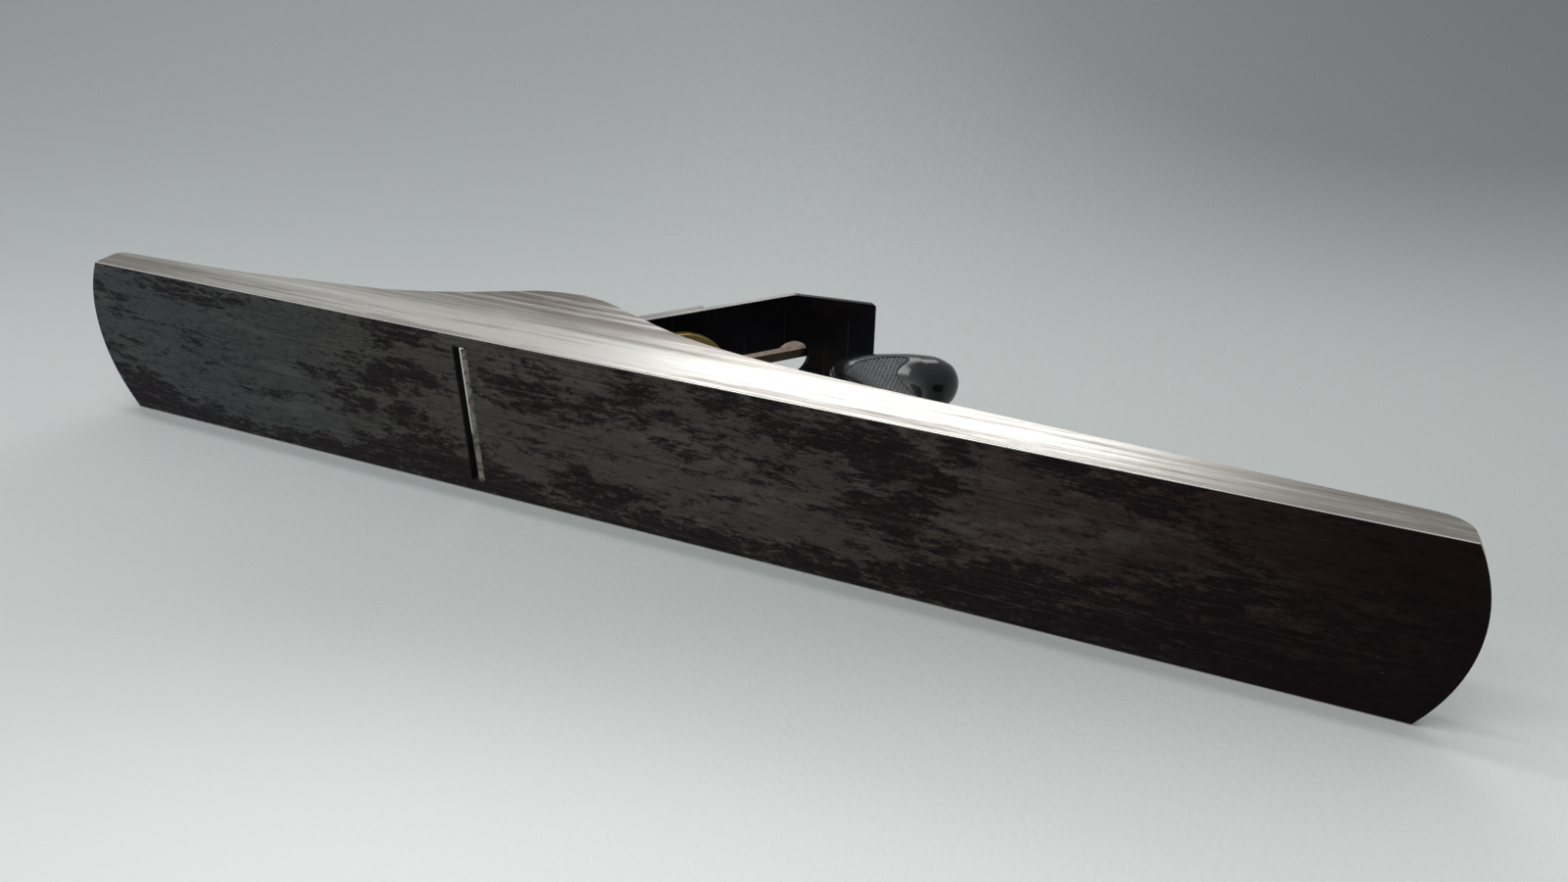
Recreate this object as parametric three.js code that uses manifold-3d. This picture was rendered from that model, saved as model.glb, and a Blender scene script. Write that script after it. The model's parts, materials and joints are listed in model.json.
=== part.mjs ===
// A 22 inch iron jointer plane, as an assembly of its separate pieces.
// Millimetres. +X points to the toe, +Y to the plane's left side, +Z up from the sole.
// The origin is the middle of the sole.

import * as THREE from 'three';
import { mergeVertices } from 'three/addons/utils/BufferGeometryUtils.js';
import Module from 'manifold-3d';

const wasm = await Module();
wasm.setup();

// ---------------------------------------------------------------- driving dimensions

const GAP = 0.3; // clearance kept between touching pieces

// body casting
const LENGTH = 559; // 22 in over the rounded ends
const HALF_WIDTH = 36;
const CORNER_X = 269; // where the straight sides stop and the rounded ends begin
const SOLE_THICK = 4.8;
const CHEEK_THICK = 4;
const HUMP = [57, 51.2]; // highest point of the cheeks
const MOUTH_HEEL_X = 79.9;
const MOUTH_TOE_X = 86.3;
const MOUTH_HALF = 30.9;
const MOUTH_LAND = 4.2; // upright part of the mouth's toe side, below its relief
const FROG_SEAT_Z = 9;
const TOTE_PAD_Z = 8;
const KNOB_BOSS_Z = 7.5;
const KNOB_X = 185;

// frog
const FROG_HALF = 25;
const FROG_TOP = 61; // how far up the iron its bed reaches
const FROG_BACK = -15; // depth of the casting below the iron's face
const FROG_ARM_HALF = 12;

// bed: s runs up along the iron from its edge, h stands square to the iron's flat face
const BED_ANGLE = Math.PI / 4;
const EDGE_X = 82.5;
const IRON_THICK = 2.5;
const IRON_HALF = 30.15; // 2 3/8 in wide
const IRON_LENGTH = 179;
const SLOT_HALF = 6.15;
const SLOT_START = 31;
const KEYHOLE_S = 138.4;
const KEYHOLE_R = 8.5;

// depth adjuster
const WHEEL_S = 85.2;
const WHEEL_R = 23.4;
const WHEEL_TOP = -3.5;
const WHEEL_RIM = 3;
const SCREW_R = 3;
const ARM_TOP = -7.5; // top of the frog arm that carries the adjusting screw
const ARM_THICK = 4;
const LEVER_S = 57.5; // pivot of the bell-crank lever
const LEVER_H = -20;
const LEVER_TIP_H = 1.4;

// lever cap
const CAP_SCREW_S = 35;
const FULCRUM_S = 47;
const FULCRUM_HEAD_H = 13.4;
const CAM_S = 104;
const CAM_H = 10.5;
const CAM_R = 6.3;

// handles
const TOTE_HALF = 12.5;
const ROD_TOP = new THREE.Vector3(-60, 0, 101.6);
const ROD_FOOT = new THREE.Vector3(-85.2, 0, 3);
const TOTE_SCREW_X = -8;
const KNOB_TOP = 51.5;

// ---------------------------------------------------------------- finishes

const FINISH = {
  iron: { color: 0x8f8c86, roughness: 0.42, metalness: 0.9 },
  japan: { color: 0x17181a, roughness: 0.35, metalness: 0.3 },
  steel: { color: 0x3b3a40, roughness: 0.4, metalness: 0.9 },
  bright: { color: 0xb7b2a8, roughness: 0.35, metalness: 0.95 },
  bronze: { color: 0x7d6a4a, roughness: 0.45, metalness: 0.85 },
  brass: { color: 0xa8883f, roughness: 0.38, metalness: 0.95 },
  rubber: { color: 0x0f1114, roughness: 0.25, metalness: 0 },
};

function piece(name, geometry, finish) {
  const mesh = new THREE.Mesh(geometry, new THREE.MeshStandardMaterial(FINISH[finish]));
  mesh.name = name;
  return mesh;
}

// ---------------------------------------------------------------- joining and cutting

function weld(geometry) {
  const bare = geometry.clone();
  bare.deleteAttribute('normal');
  bare.deleteAttribute('uv');
  const merged = mergeVertices(bare, 1e-4);
  const corners = merged.index.array;
  const kept = [];
  for (let i = 0; i < corners.length; i += 3) {
    const [a, b, c] = [corners[i], corners[i + 1], corners[i + 2]];
    if (a !== b && b !== c && c !== a) kept.push(a, b, c);
  }
  merged.setIndex(kept);
  return merged;
}

function toSolid(geometry) {
  const welded = weld(geometry);
  return new wasm.Manifold(new wasm.Mesh({
    numProp: 3,
    vertProperties: Float32Array.from(welded.attributes.position.array),
    triVerts: Uint32Array.from(welded.index.array),
  }));
}

function toGeometry(manifold) {
  const mesh = manifold.getMesh();
  const geometry = new THREE.BufferGeometry();
  geometry.setAttribute('position', new THREE.Float32BufferAttribute(mesh.vertProperties, 3));
  geometry.setIndex(Array.from(mesh.triVerts));
  return geometry;
}

// joins the first list, then takes the second list away
function shape(joined, cut = []) {
  let body = toSolid(joined[0]);
  for (const other of joined.slice(1)) body = body.add(toSolid(other));
  for (const tool of cut) body = body.subtract(toSolid(tool));
  return toGeometry(body);
}

// ---------------------------------------------------------------- stock shapes

function asShape(outline) {
  if (outline instanceof THREE.Shape) return outline;
  return new THREE.Shape(outline.map(([a, b]) => new THREE.Vector2(a, b)));
}

// outline in X and Y, between two heights
function slab(outline, z0, z1, curveSegments = 12) {
  const options = { depth: z1 - z0, bevelEnabled: false, curveSegments };
  return new THREE.ExtrudeGeometry(asShape(outline), options).translate(0, 0, z0);
}

// outline in X and Z, between two places across the plane
function plate(outline, y0, y1, curveSegments = 12) {
  const options = { depth: y1 - y0, bevelEnabled: false, curveSegments };
  return new THREE.ExtrudeGeometry(asShape(outline), options).rotateX(Math.PI / 2).translate(0, y1, 0);
}

function block(x0, x1, y0, y1, z0, z1) {
  return new THREE.BoxGeometry(x1 - x0, y1 - y0, z1 - z0)
    .translate((x0 + x1) / 2, (y0 + y1) / 2, (z0 + z1) / 2);
}

// profile of [radius, height] pairs that starts and ends on the axis, turned about Z
function turned(profile, segments = 24) {
  const points = profile.map(([r, z]) => new THREE.Vector2(r, z));
  return new THREE.LatheGeometry(points, segments).rotateX(Math.PI / 2);
}

function bar(radius, z0, z1, segments = 20) {
  return turned([[0, z0], [radius, z0], [radius, z1], [0, z1]], segments);
}

// a round bar along Y
function crossBar(radius, y0, y1, segments = 16) {
  return bar(radius, y0, y1, segments).rotateX(-Math.PI / 2);
}

// a round-ended slot along X, centred on the X axis
function slotShape(x0, x1, half) {
  const outline = new THREE.Shape();
  outline.moveTo(x0 + half, -half);
  outline.lineTo(x1 - half, -half);
  outline.absarc(x1 - half, 0, half, -Math.PI / 2, Math.PI / 2, false);
  outline.lineTo(x0 + half, half);
  outline.absarc(x0 + half, 0, half, Math.PI / 2, 3 * Math.PI / 2, false);
  return outline;
}

// a smooth line through the given points, as [a, b] pairs
function flowing(points, divisions) {
  const curve = new THREE.SplineCurve(points.map(([a, b]) => new THREE.Vector2(a, b)));
  return curve.getPoints(divisions).map((p) => [p.x, p.y]);
}

// a slotted screw head with a domed top, its seat at z = 0
function domedHead(radius, height) {
  const side = [[0, 0], [radius, 0], [radius, height * 0.5], [radius * 0.72, height * 0.88], [0, height]];
  const dome = turned(side);
  const slot = block(-radius - 1, radius + 1, -0.5, 0.5, height * 0.55, height + 1);
  return shape([dome], [slot]);
}

// ---------------------------------------------------------------- the bed's own frame

const bed = new THREE.Group();
bed.position.set(EDGE_X, 0, 0);
bed.rotation.set(0, BED_ANGLE, Math.PI, 'YXZ');
bed.updateMatrix();

// bed frame to plane frame
function onBed(geometry) {
  return geometry.applyMatrix4(bed.matrix);
}

function bedPoint(s, h) {
  const k = Math.SQRT1_2;
  return [EDGE_X - s * k + h * k, (s + h) * k];
}

// ---------------------------------------------------------------- body casting

function soleOutline() {
  const bulge = LENGTH / 2 - CORNER_X;
  const radius = (HALF_WIDTH ** 2 + bulge ** 2) / (2 * bulge);
  const half = Math.asin(HALF_WIDTH / radius);
  const centre = LENGTH / 2 - radius;
  const outline = new THREE.Shape();
  outline.absarc(centre, 0, radius, -half, half, false);
  outline.absarc(-centre, 0, radius, Math.PI - half, Math.PI + half, false);
  return outline;
}

function cheekOutline() {
  const toeSide = [[264, 13.1], [240, 14.1], [205, 16], [170, 20.4], [140, 24.3], [122, 28.8], [104, 35.2],
    [88, 42.6], [74, 48.7], HUMP];
  const heelSide = [HUMP, [44.4, 48.6], [27, 41.4], [8, 34], [-14, 28.6], [-42, 24.6], [-80, 21.9],
    [-130, 19.3], [-190, 16.3], [-258, 13.4]];
  const top = [...flowing(toeSide, 30), ...flowing(heelSide, 34).slice(1)];
  const outline = new THREE.Shape();
  outline.moveTo(-CORNER_X, 0);
  outline.lineTo(CORNER_X, 0);
  outline.lineTo(CORNER_X, 8.5);
  outline.quadraticCurveTo(CORNER_X, 13, ...top[0]);
  for (const point of top.slice(1)) outline.lineTo(...point);
  outline.quadraticCurveTo(-CORNER_X, 12.6, -CORNER_X, 4.3);
  return outline;
}

function mouthCut() {
  const outline = [[MOUTH_HEEL_X, -1], [MOUTH_HEEL_X, 0], [77.9, 0.6], [66.5, 12], [96, 12], [90, 4.8],
    [MOUTH_TOE_X, MOUTH_LAND], [MOUTH_TOE_X, -1]];
  return plate(outline, -MOUTH_HALF, MOUTH_HALF);
}

const FROG_SCREWS = [[45, 16.75], [45, -16.75]];

function planeBody() {
  const seat = plate([[13, 4], [13, FROG_SEAT_Z], [78.5 - FROG_SEAT_Z, FROG_SEAT_Z], [74.5, 4]], -27, 27);
  const totePad = slab(slotShape(-132, 9, 12), 4, TOTE_PAD_Z, 8);
  const knobBoss = turned([[0, 4], [20, 4], [19, KNOB_BOSS_Z], [0, KNOB_BOSS_Z]], 36).translate(KNOB_X, 0, 0);
  const cheeks = [1, -1].map((side) => {
    const [inner, outer] = [side * (HALF_WIDTH - CHEEK_THICK), side * HALF_WIDTH];
    return plate(cheekOutline(), Math.min(inner, outer), Math.max(inner, outer), 6);
  });
  const holes = [
    ...FROG_SCREWS.map(([x, y]) => bar(2.7, 3, 12).translate(x, y, 0)),
    bar(3.4, 2, 12).translate(KNOB_X, 0, 0),
    bar(2.7, 2.4, 12).translate(TOTE_SCREW_X, 0, 0),
    barOnRodLine(3.2, ROD_TOP.distanceTo(ROD_FOOT) - 8, ROD_TOP.distanceTo(ROD_FOOT) + 0.6),
  ];
  const joined = [slab(soleOutline(), 0, SOLE_THICK, 24), ...cheeks, seat, totePad, knobBoss];
  return shape(joined, [mouthCut(), ...holes]);
}

// ---------------------------------------------------------------- frog

// the wedge between the frog's foot and its bed, square across the plane
function frogSide() {
  const face = -IRON_THICK - GAP;
  const low = FROG_SEAT_Z + GAP;
  return [bedPoint(low * Math.SQRT2 - face, face), bedPoint(FROG_TOP, face), bedPoint(FROG_TOP, FROG_BACK),
    [24, 16], [16, 16], [16, low]];
}

function frog() {
  const low = FROG_SEAT_Z + GAP;
  const whole = plate(frogSide(), -FROG_HALF, FROG_HALF);
  const pocket = [bedPoint(16 * Math.SQRT2 + 9, -9), bedPoint(75, -9), [0, 46], [0, 16]];
  const armOutline = new THREE.Shape();
  armOutline.moveTo(50, -FROG_ARM_HALF);
  armOutline.lineTo(WHEEL_S, -FROG_ARM_HALF);
  armOutline.absarc(WHEEL_S, 0, FROG_ARM_HALF, -Math.PI / 2, Math.PI / 2, false);
  armOutline.lineTo(50, FROG_ARM_HALF);
  const under = ARM_TOP - ARM_THICK;
  const rib = [bedPoint(48, ARM_TOP), bedPoint(92, ARM_TOP), bedPoint(93, under - 3), bedPoint(76, -27),
    bedPoint(60, -30), bedPoint(48, -30)];
  const joined = [
    whole,
    onBed(slab(armOutline, under, ARM_TOP)),
    plate(rib, 9.3, FROG_ARM_HALF),
    plate(rib, -FROG_ARM_HALF, -9.3),
  ];
  const cut = [
    plate(pocket, FROG_ARM_HALF, FROG_HALF - 3.5),
    plate(pocket, -FROG_HALF + 3.5, -FROG_ARM_HALF),
    onBed(slab(slotShape(26.5, 43.3, 6.6), -8, 0)), // room for the cap-iron screw's head
    onBed(bar(SCREW_R + GAP, -17, 0).translate(FULCRUM_S, 0, 0)),
    onBed(block(53.5, 66, -3.2, 3.2, -34, 0)), // slot the lever works in
    onBed(block(61.1, 80, -9.3, 9.3, -34, under)),
    onBed(bar(SCREW_R + GAP, -16, 0).translate(WHEEL_S, 0, 0)),
    crossBar(2, -13, 13).translate(bedPoint(LEVER_S, LEVER_H)[0], 0, bedPoint(LEVER_S, LEVER_H)[1]),
    ...FROG_SCREWS.flatMap(([x, y]) => [
      slab(slotShape(-5.2, 2.9, 2.8), 0, 17).translate(x, y, 0),
      slab(slotShape(-7, 5.1, 4.7), 16, 60).translate(x, y, 0),
    ]),
    plate([[0, low - 20], [90, low - 20], [90, low], [0, low]], -30, 30),
  ];
  return shape(joined, cut);
}

function frogScrew() {
  const head = domedHead(3.9, 3.4).translate(0, 0, 17.8);
  return shape([head, bar(2.4, 3.4, 18.4)]);
}

function frogWasher() {
  return shape([bar(4.4, 16.3, 17.5)], [bar(2.7, 16, 18)]);
}

// ---------------------------------------------------------------- depth adjuster

function adjustingWheel() {
  const low = WHEEL_TOP - WHEEL_RIM;
  const rim = turned([
    [0, ARM_TOP + GAP], [9, ARM_TOP + GAP], [9, low + 0.4], [17.5, low + 0.7], [19.5, low],
    [WHEEL_R, low], [WHEEL_R, WHEEL_TOP], [0, WHEEL_TOP],
  ], 64);
  return shape([rim], [bar(SCREW_R + GAP, -20, 0)]).translate(WHEEL_S, 0, 0);
}

function adjustingScrew() {
  return bar(SCREW_R, -27, WHEEL_TOP - 0.2).translate(WHEEL_S, 0, 0);
}

function screwCollar() {
  const top = ARM_TOP - ARM_THICK - GAP;
  return shape([bar(5, top - 2.4, top)], [bar(SCREW_R + GAP, -20, 0)]).translate(WHEEL_S, 0, 0);
}

function travellingNut() {
  const body = bar(5, LEVER_H - 2.5, LEVER_H + 2.5, 6).rotateZ(Math.PI / 6);
  const trunnions = crossBar(1.5, -7.9, 7.9).translate(0, 0, LEVER_H);
  return shape([body, trunnions], [bar(SCREW_R + GAP, -30, 0)]).translate(WHEEL_S, 0, 0);
}

function adjustingLever() {
  const blade = new THREE.Shape();
  blade.moveTo(LEVER_S - 1.45, LEVER_TIP_H);
  blade.absarc(LEVER_S, LEVER_TIP_H, 1.45, Math.PI, 0, true);
  blade.lineTo(LEVER_S + 1.6, -12);
  blade.quadraticCurveTo(LEVER_S + 3, -16, LEVER_S + 8, -17);
  blade.lineTo(76, -17);
  blade.lineTo(76, -23);
  blade.lineTo(LEVER_S + 2, -24);
  blade.absarc(LEVER_S, LEVER_H, 3.8, -Math.PI / 2, -Math.PI, true);
  blade.lineTo(LEVER_S - 2.4, -12);
  const prong = [[73.5, -16.7], [90, -16.7], [90, -18.2], [83, -18.2], [83, -21.8], [90, -21.8], [90, -23.3],
    [73.5, -23.3]];
  const joined = [
    plate(blade, -2.4, 2.4, 8),
    plate(prong, 5.6, 8.4),
    plate(prong, -8.4, -5.6),
    block(73.5, 76.5, -8.4, 8.4, -23.3, -16.7),
  ];
  return shape(joined, [crossBar(2.1, -4, 4).translate(LEVER_S, 0, LEVER_H)]);
}

function leverPin() {
  return crossBar(1.75, -11.8, 11.8).translate(LEVER_S, 0, LEVER_H);
}

// ---------------------------------------------------------------- cutting irons

function ironOutline() {
  const outline = new THREE.Shape();
  outline.moveTo(0, -IRON_HALF);
  outline.lineTo(139.5, -IRON_HALF);
  outline.lineTo(IRON_LENGTH - 1.2, -18.9);
  outline.quadraticCurveTo(IRON_LENGTH, -18.3, IRON_LENGTH, -17);
  outline.lineTo(IRON_LENGTH, 17);
  outline.quadraticCurveTo(IRON_LENGTH, 18.3, IRON_LENGTH - 1.2, 18.9);
  outline.lineTo(139.5, IRON_HALF);
  outline.lineTo(0, IRON_HALF);
  return outline;
}

// the long slot ends in a round hole, with a small curve where they meet
function keyholeOutline() {
  const spread = 0.82; // angle at which the curve runs into the round hole
  const touch = [KEYHOLE_S - KEYHOLE_R * Math.cos(spread), KEYHOLE_R * Math.sin(spread)];
  const outline = new THREE.Shape();
  outline.absarc(SLOT_START + SLOT_HALF, 0, SLOT_HALF, Math.PI / 2, 3 * Math.PI / 2, false);
  outline.lineTo(KEYHOLE_S - 10, -SLOT_HALF);
  outline.lineTo(touch[0], -touch[1]);
  outline.absarc(KEYHOLE_S, 0, KEYHOLE_R, Math.PI + spread, 3 * Math.PI - spread, false);
  outline.lineTo(KEYHOLE_S - 10, SLOT_HALF);
  return outline;
}

function planeIron() {
  const blank = slab(ironOutline(), -IRON_THICK, 0);
  const bevel = plate([[-1, 0.466], [-1, -3], [6, -3], [5.4, -IRON_THICK]], -40, 40);
  return shape([blank], [slab(keyholeOutline(), -5, 2, 10), bevel]);
}

// the cap iron is one strip of steel, curved to a hump above the edge
function capIronSide() {
  const outline = new THREE.Shape();
  outline.moveTo(1.3, GAP);
  outline.lineTo(2.6, GAP);
  outline.bezierCurveTo(6, 4.6, 12, 5.4, 17, 2.6);
  outline.quadraticCurveTo(21.5, GAP, 27, GAP);
  outline.lineTo(112, GAP);
  outline.lineTo(112, 2.6);
  outline.lineTo(27.5, 2.6);
  outline.quadraticCurveTo(22.5, 2.6, 18.4, 4.8);
  outline.bezierCurveTo(12, 8.2, 4, 6.6, 1.3, GAP);
  return outline;
}

function capIron() {
  const strip = plate(capIronSide(), -IRON_HALF, IRON_HALF, 8);
  const corners = [1, -1].map((side) => {
    const cut = [[98, side * (IRON_HALF + 1)], [114, side * 18], [114, side * (IRON_HALF + 1)]];
    return slab(cut, -1, 6);
  });
  const cuts = [
    bar(SCREW_R + GAP, -1, 4).translate(CAP_SCREW_S, 0, 0),
    slab(slotShape(41.8, 52.2, 3.8), -1, 4),
    block(LEVER_S - 1.8, LEVER_S + 1.8, -2.8, 2.8, -1, 4),
  ];
  return shape([strip], [...corners, ...cuts]);
}

function capIronScrew() {
  const head = bar(5.5, -IRON_THICK - GAP - 3, -IRON_THICK - GAP, 28);
  const slot = block(-6, 6, -0.6, 0.6, -7, -4.6);
  return shape([head, bar(SCREW_R, -4, 2.9)], [slot]).translate(CAP_SCREW_S, 0, 0);
}

// ---------------------------------------------------------------- lever cap

function fulcrumScrew() {
  const head = domedHead(5.6, 4).translate(0, 0, FULCRUM_HEAD_H);
  return shape([head, bar(SCREW_R, -15, FULCRUM_HEAD_H + 1)]).translate(FULCRUM_S, 0, 0);
}

function leverCapPlan() {
  const outline = new THREE.Shape();
  outline.moveTo(7.5, -27);
  outline.lineTo(7.5, 27);
  outline.bezierCurveTo(34, 28, 52, 15, 92, 9);
  outline.lineTo(110, 8);
  outline.quadraticCurveTo(112, 8, 112, 6);
  outline.lineTo(112, -6);
  outline.quadraticCurveTo(112, -8, 110, -8);
  outline.lineTo(92, -9);
  outline.bezierCurveTo(52, -15, 34, -28, 7.5, -27);
  return outline;
}

function leverCapSide() {
  const outline = new THREE.Shape();
  outline.moveTo(7.5, 7.9);
  outline.lineTo(10.5, 7.2);
  outline.bezierCurveTo(18, 7.4, 22, 8.8, 34, 9);
  outline.lineTo(92, 8.4);
  outline.lineTo(96, 5.4);
  outline.lineTo(112, 5.4);
  outline.lineTo(112, 12);
  outline.quadraticCurveTo(108, 16.2, 102, 15.4);
  outline.bezierCurveTo(80, 13, 60, 13, 40, 13.1);
  outline.bezierCurveTo(24, 13.2, 14, 12, 7.5, 9.2);
  return outline;
}

function leverCap() {
  const wide = toSolid(slab(leverCapPlan(), 0, 20, 14));
  const deep = toSolid(plate(leverCapSide(), -30, 30, 8));
  const blank = toGeometry(wide.intersect(deep));
  const keyhole = [
    slab(slotShape(FULCRUM_S - 9, FULCRUM_S + 3.6, 3.6), 0, 20),
    bar(6.4, 0, 20, 28).translate(FULCRUM_S - 9, 0, 0),
  ];
  const camRoom = block(94.5, 113, -2.5, 2.5, 0, 20);
  const pinHole = crossBar(2.05, -10, 10).translate(CAM_S, 0, CAM_H);
  const rivetHole = bar(1.55, 0, 20).translate(84, 0, 0);
  return shape([blank], [...keyhole, camRoom, pinHole, rivetHole]);
}

// a narrow lever that stands on edge and lies just above the iron when it is locked
function camLever() {
  const outline = new THREE.Shape();
  outline.absarc(CAM_S, CAM_H, CAM_R, 1.75, 4.9, false);
  outline.lineTo(112, 4.2);
  outline.quadraticCurveTo(115.5, 3.6, 117.5, 0.9);
  outline.lineTo(157, 0.9);
  outline.quadraticCurveTo(162, 1.2, 162.5, 5.5);
  outline.quadraticCurveTo(162.6, 10.6, 157, 11.6);
  outline.bezierCurveTo(142, 13, 128, 14, 116, 16.4);
  outline.quadraticCurveTo(109, 17.4, CAM_S + CAM_R * Math.cos(1.75), CAM_H + CAM_R * Math.sin(1.75));
  const arm = plate(outline, -2.1, 2.1, 8);
  return shape([arm], [crossBar(2.1, -5, 5).translate(CAM_S, 0, CAM_H)]);
}

function camPin() {
  return crossBar(1.75, -8.6, 8.6).translate(CAM_S, 0, CAM_H);
}

function capSpring() {
  const side = [[78, 7.1], [88.5, 7.1], [93.2, 3.3], [111.5, 2.9], [111.5, 3.5], [93.6, 4.2], [89, 8.1],
    [78, 8.1]];
  return shape([plate(side, -5.5, 5.5)], [bar(1.55, 0, 20).translate(84, 0, 0)]);
}

function springRivet() {
  const profile = [[0, 5.6], [2.6, 5.9], [2.6, 6.8], [1.25, 6.8], [1.25, 13.9], [0, 13.9]];
  return turned(profile, 16).translate(84, 0, 0);
}

// ---------------------------------------------------------------- handles

// grip outline seen from the side: foot, finger curve, nose, horn, web of the hand, back
function toteSide() {
  const front = [[6, 11.5], [2, 16.2], [-14, 19], [-32, 22.4], [-48, 29.5], [-59.5, 41], [-61.5, 53],
    [-54.5, 65], [-44.5, 75], [-38.6, 84.5], [-40.5, 92.6]];
  const crown = [[-40.5, 92.6], [-50, 97.6], [-64, 104.4], [-78, 108.9], [-88, 106.4], [-92, 99],
    [-88.4, 91.6]];
  const back = [[-88.4, 91.6], [-82.4, 87], [-80.4, 80], [-84.5, 70], [-94, 56], [-102, 41], [-111, 25],
    [-126, 12.4]];
  const line = [...flowing(front, 26), ...flowing(crown, 16).slice(1), ...flowing(back, 22).slice(1)];
  const outline = new THREE.Shape();
  outline.moveTo(-128, TOTE_PAD_Z + GAP);
  outline.lineTo(6, TOTE_PAD_Z + GAP);
  for (const point of line) outline.lineTo(...point);
  return outline;
}

// a bar down the tote rod's line, from one distance below its top to another
function barOnRodLine(radius, from, to, segments = 20) {
  const along = new THREE.Quaternion().setFromUnitVectors(
    new THREE.Vector3(0, 0, -1), ROD_FOOT.clone().sub(ROD_TOP).normalize());
  return bar(radius, -to, -from, segments).applyQuaternion(along).translate(ROD_TOP.x, 0, ROD_TOP.z);
}

function tote() {
  const round = 2.4;
  const blank = new THREE.ExtrudeGeometry(toteSide(), {
    depth: 2 * (TOTE_HALF - round),
    bevelEnabled: true,
    bevelThickness: round,
    bevelSize: round,
    bevelOffset: -round,
    bevelSegments: 2,
  }).rotateX(Math.PI / 2).translate(0, TOTE_HALF - round, 0);
  const cuts = [
    barOnRodLine(3.1, -5, 120),
    barOnRodLine(6.2, -12, 3.6),
    barOnRodLine(4.3, 0, 18),
    bar(2.7, 0, 30).translate(TOTE_SCREW_X, 0, 0),
    bar(4.6, 14.4, 30).translate(TOTE_SCREW_X, 0, 0),
  ];
  return shape([blank], cuts);
}

function toteRod() {
  return barOnRodLine(2.6, 6, ROD_TOP.distanceTo(ROD_FOOT));
}

function toteNut() {
  const joined = [barOnRodLine(5.8, 0.8, 3.3), barOnRodLine(3.9, 3, 16)];
  return shape(joined, [barOnRodLine(2.9, 5, 20)]);
}

function toteToeScrew() {
  return shape([domedHead(4.2, 3).translate(0, 0, 14.7), bar(2.4, 2.8, 15)]).translate(TOTE_SCREW_X, 0, 0);
}

function knob() {
  const foot = KNOB_BOSS_Z + GAP;
  const side = [[17, foot], [17.6, foot + 2.4], [14, foot + 6], [10.4, foot + 12], [10.2, foot + 18],
    [13.6, foot + 25], [17.2, foot + 30.5], [17.4, foot + 36], [14, foot + 41], [8, KNOB_TOP]];
  const profile = [[0, foot], ...flowing(side, 22), [0, KNOB_TOP]];
  const cuts = [bar(3, 0, 60), bar(6, KNOB_TOP - 2.8, 60)];
  return shape([turned(profile, 40)], cuts).translate(KNOB_X, 0, 0);
}

function knobRod() {
  return bar(2.6, 2.6, KNOB_TOP - 6).translate(KNOB_X, 0, 0);
}

function knobNut() {
  return domedHead(5.6, 2.9).translate(KNOB_X, 0, KNOB_TOP - 2.5);
}

// ---------------------------------------------------------------- the assembly

const plane = new THREE.Group();
plane.add(
  piece('plane_body', planeBody(), 'iron'),
  piece('frog', frog(), 'japan'),
  piece('tote', tote(), 'rubber'),
  piece('tote_rod', toteRod(), 'steel'),
  piece('tote_nut', toteNut(), 'brass'),
  piece('tote_toe_screw', toteToeScrew(), 'steel'),
  piece('front_knob', knob(), 'rubber'),
  piece('knob_rod', knobRod(), 'steel'),
  piece('knob_nut', knobNut(), 'brass'),
);

['left', 'right'].forEach((side, i) => {
  const [x, y] = FROG_SCREWS[i];
  const screw = piece(`frog_screw_${side}`, frogScrew(), 'steel');
  const washer = piece(`frog_washer_${side}`, frogWasher(), 'steel');
  screw.position.set(x, y, 0);
  washer.position.set(x, y, 0);
  plane.add(screw, washer);
});

bed.add(
  piece('adjusting_wheel', adjustingWheel(), 'brass'),
  piece('adjusting_screw', adjustingScrew(), 'steel'),
  piece('screw_collar', screwCollar(), 'steel'),
  piece('travelling_nut', travellingNut(), 'brass'),
  piece('adjusting_lever', adjustingLever(), 'steel'),
  piece('lever_pin', leverPin(), 'steel'),
  piece('plane_iron', planeIron(), 'steel'),
  piece('cap_iron', capIron(), 'steel'),
  piece('cap_iron_screw', capIronScrew(), 'steel'),
  piece('fulcrum_screw', fulcrumScrew(), 'steel'),
  piece('lever_cap', leverCap(), 'bright'),
  piece('cam_lever', camLever(), 'bronze'),
  piece('cam_pin', camPin(), 'steel'),
  piece('cap_spring', capSpring(), 'steel'),
  piece('spring_rivet', springRivet(), 'steel'),
);
plane.add(bed);

export default plane;
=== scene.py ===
"""An iron jointer plane: finishes and detailed pieces around its packed frame."""

import json
import math

import bmesh
import bpy
import numpy as np
from bpy.props import FloatProperty, FloatVectorProperty, IntProperty, PointerProperty
from mathutils import Matrix, Vector
from mathutils.bvhtree import BVHTree


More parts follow.
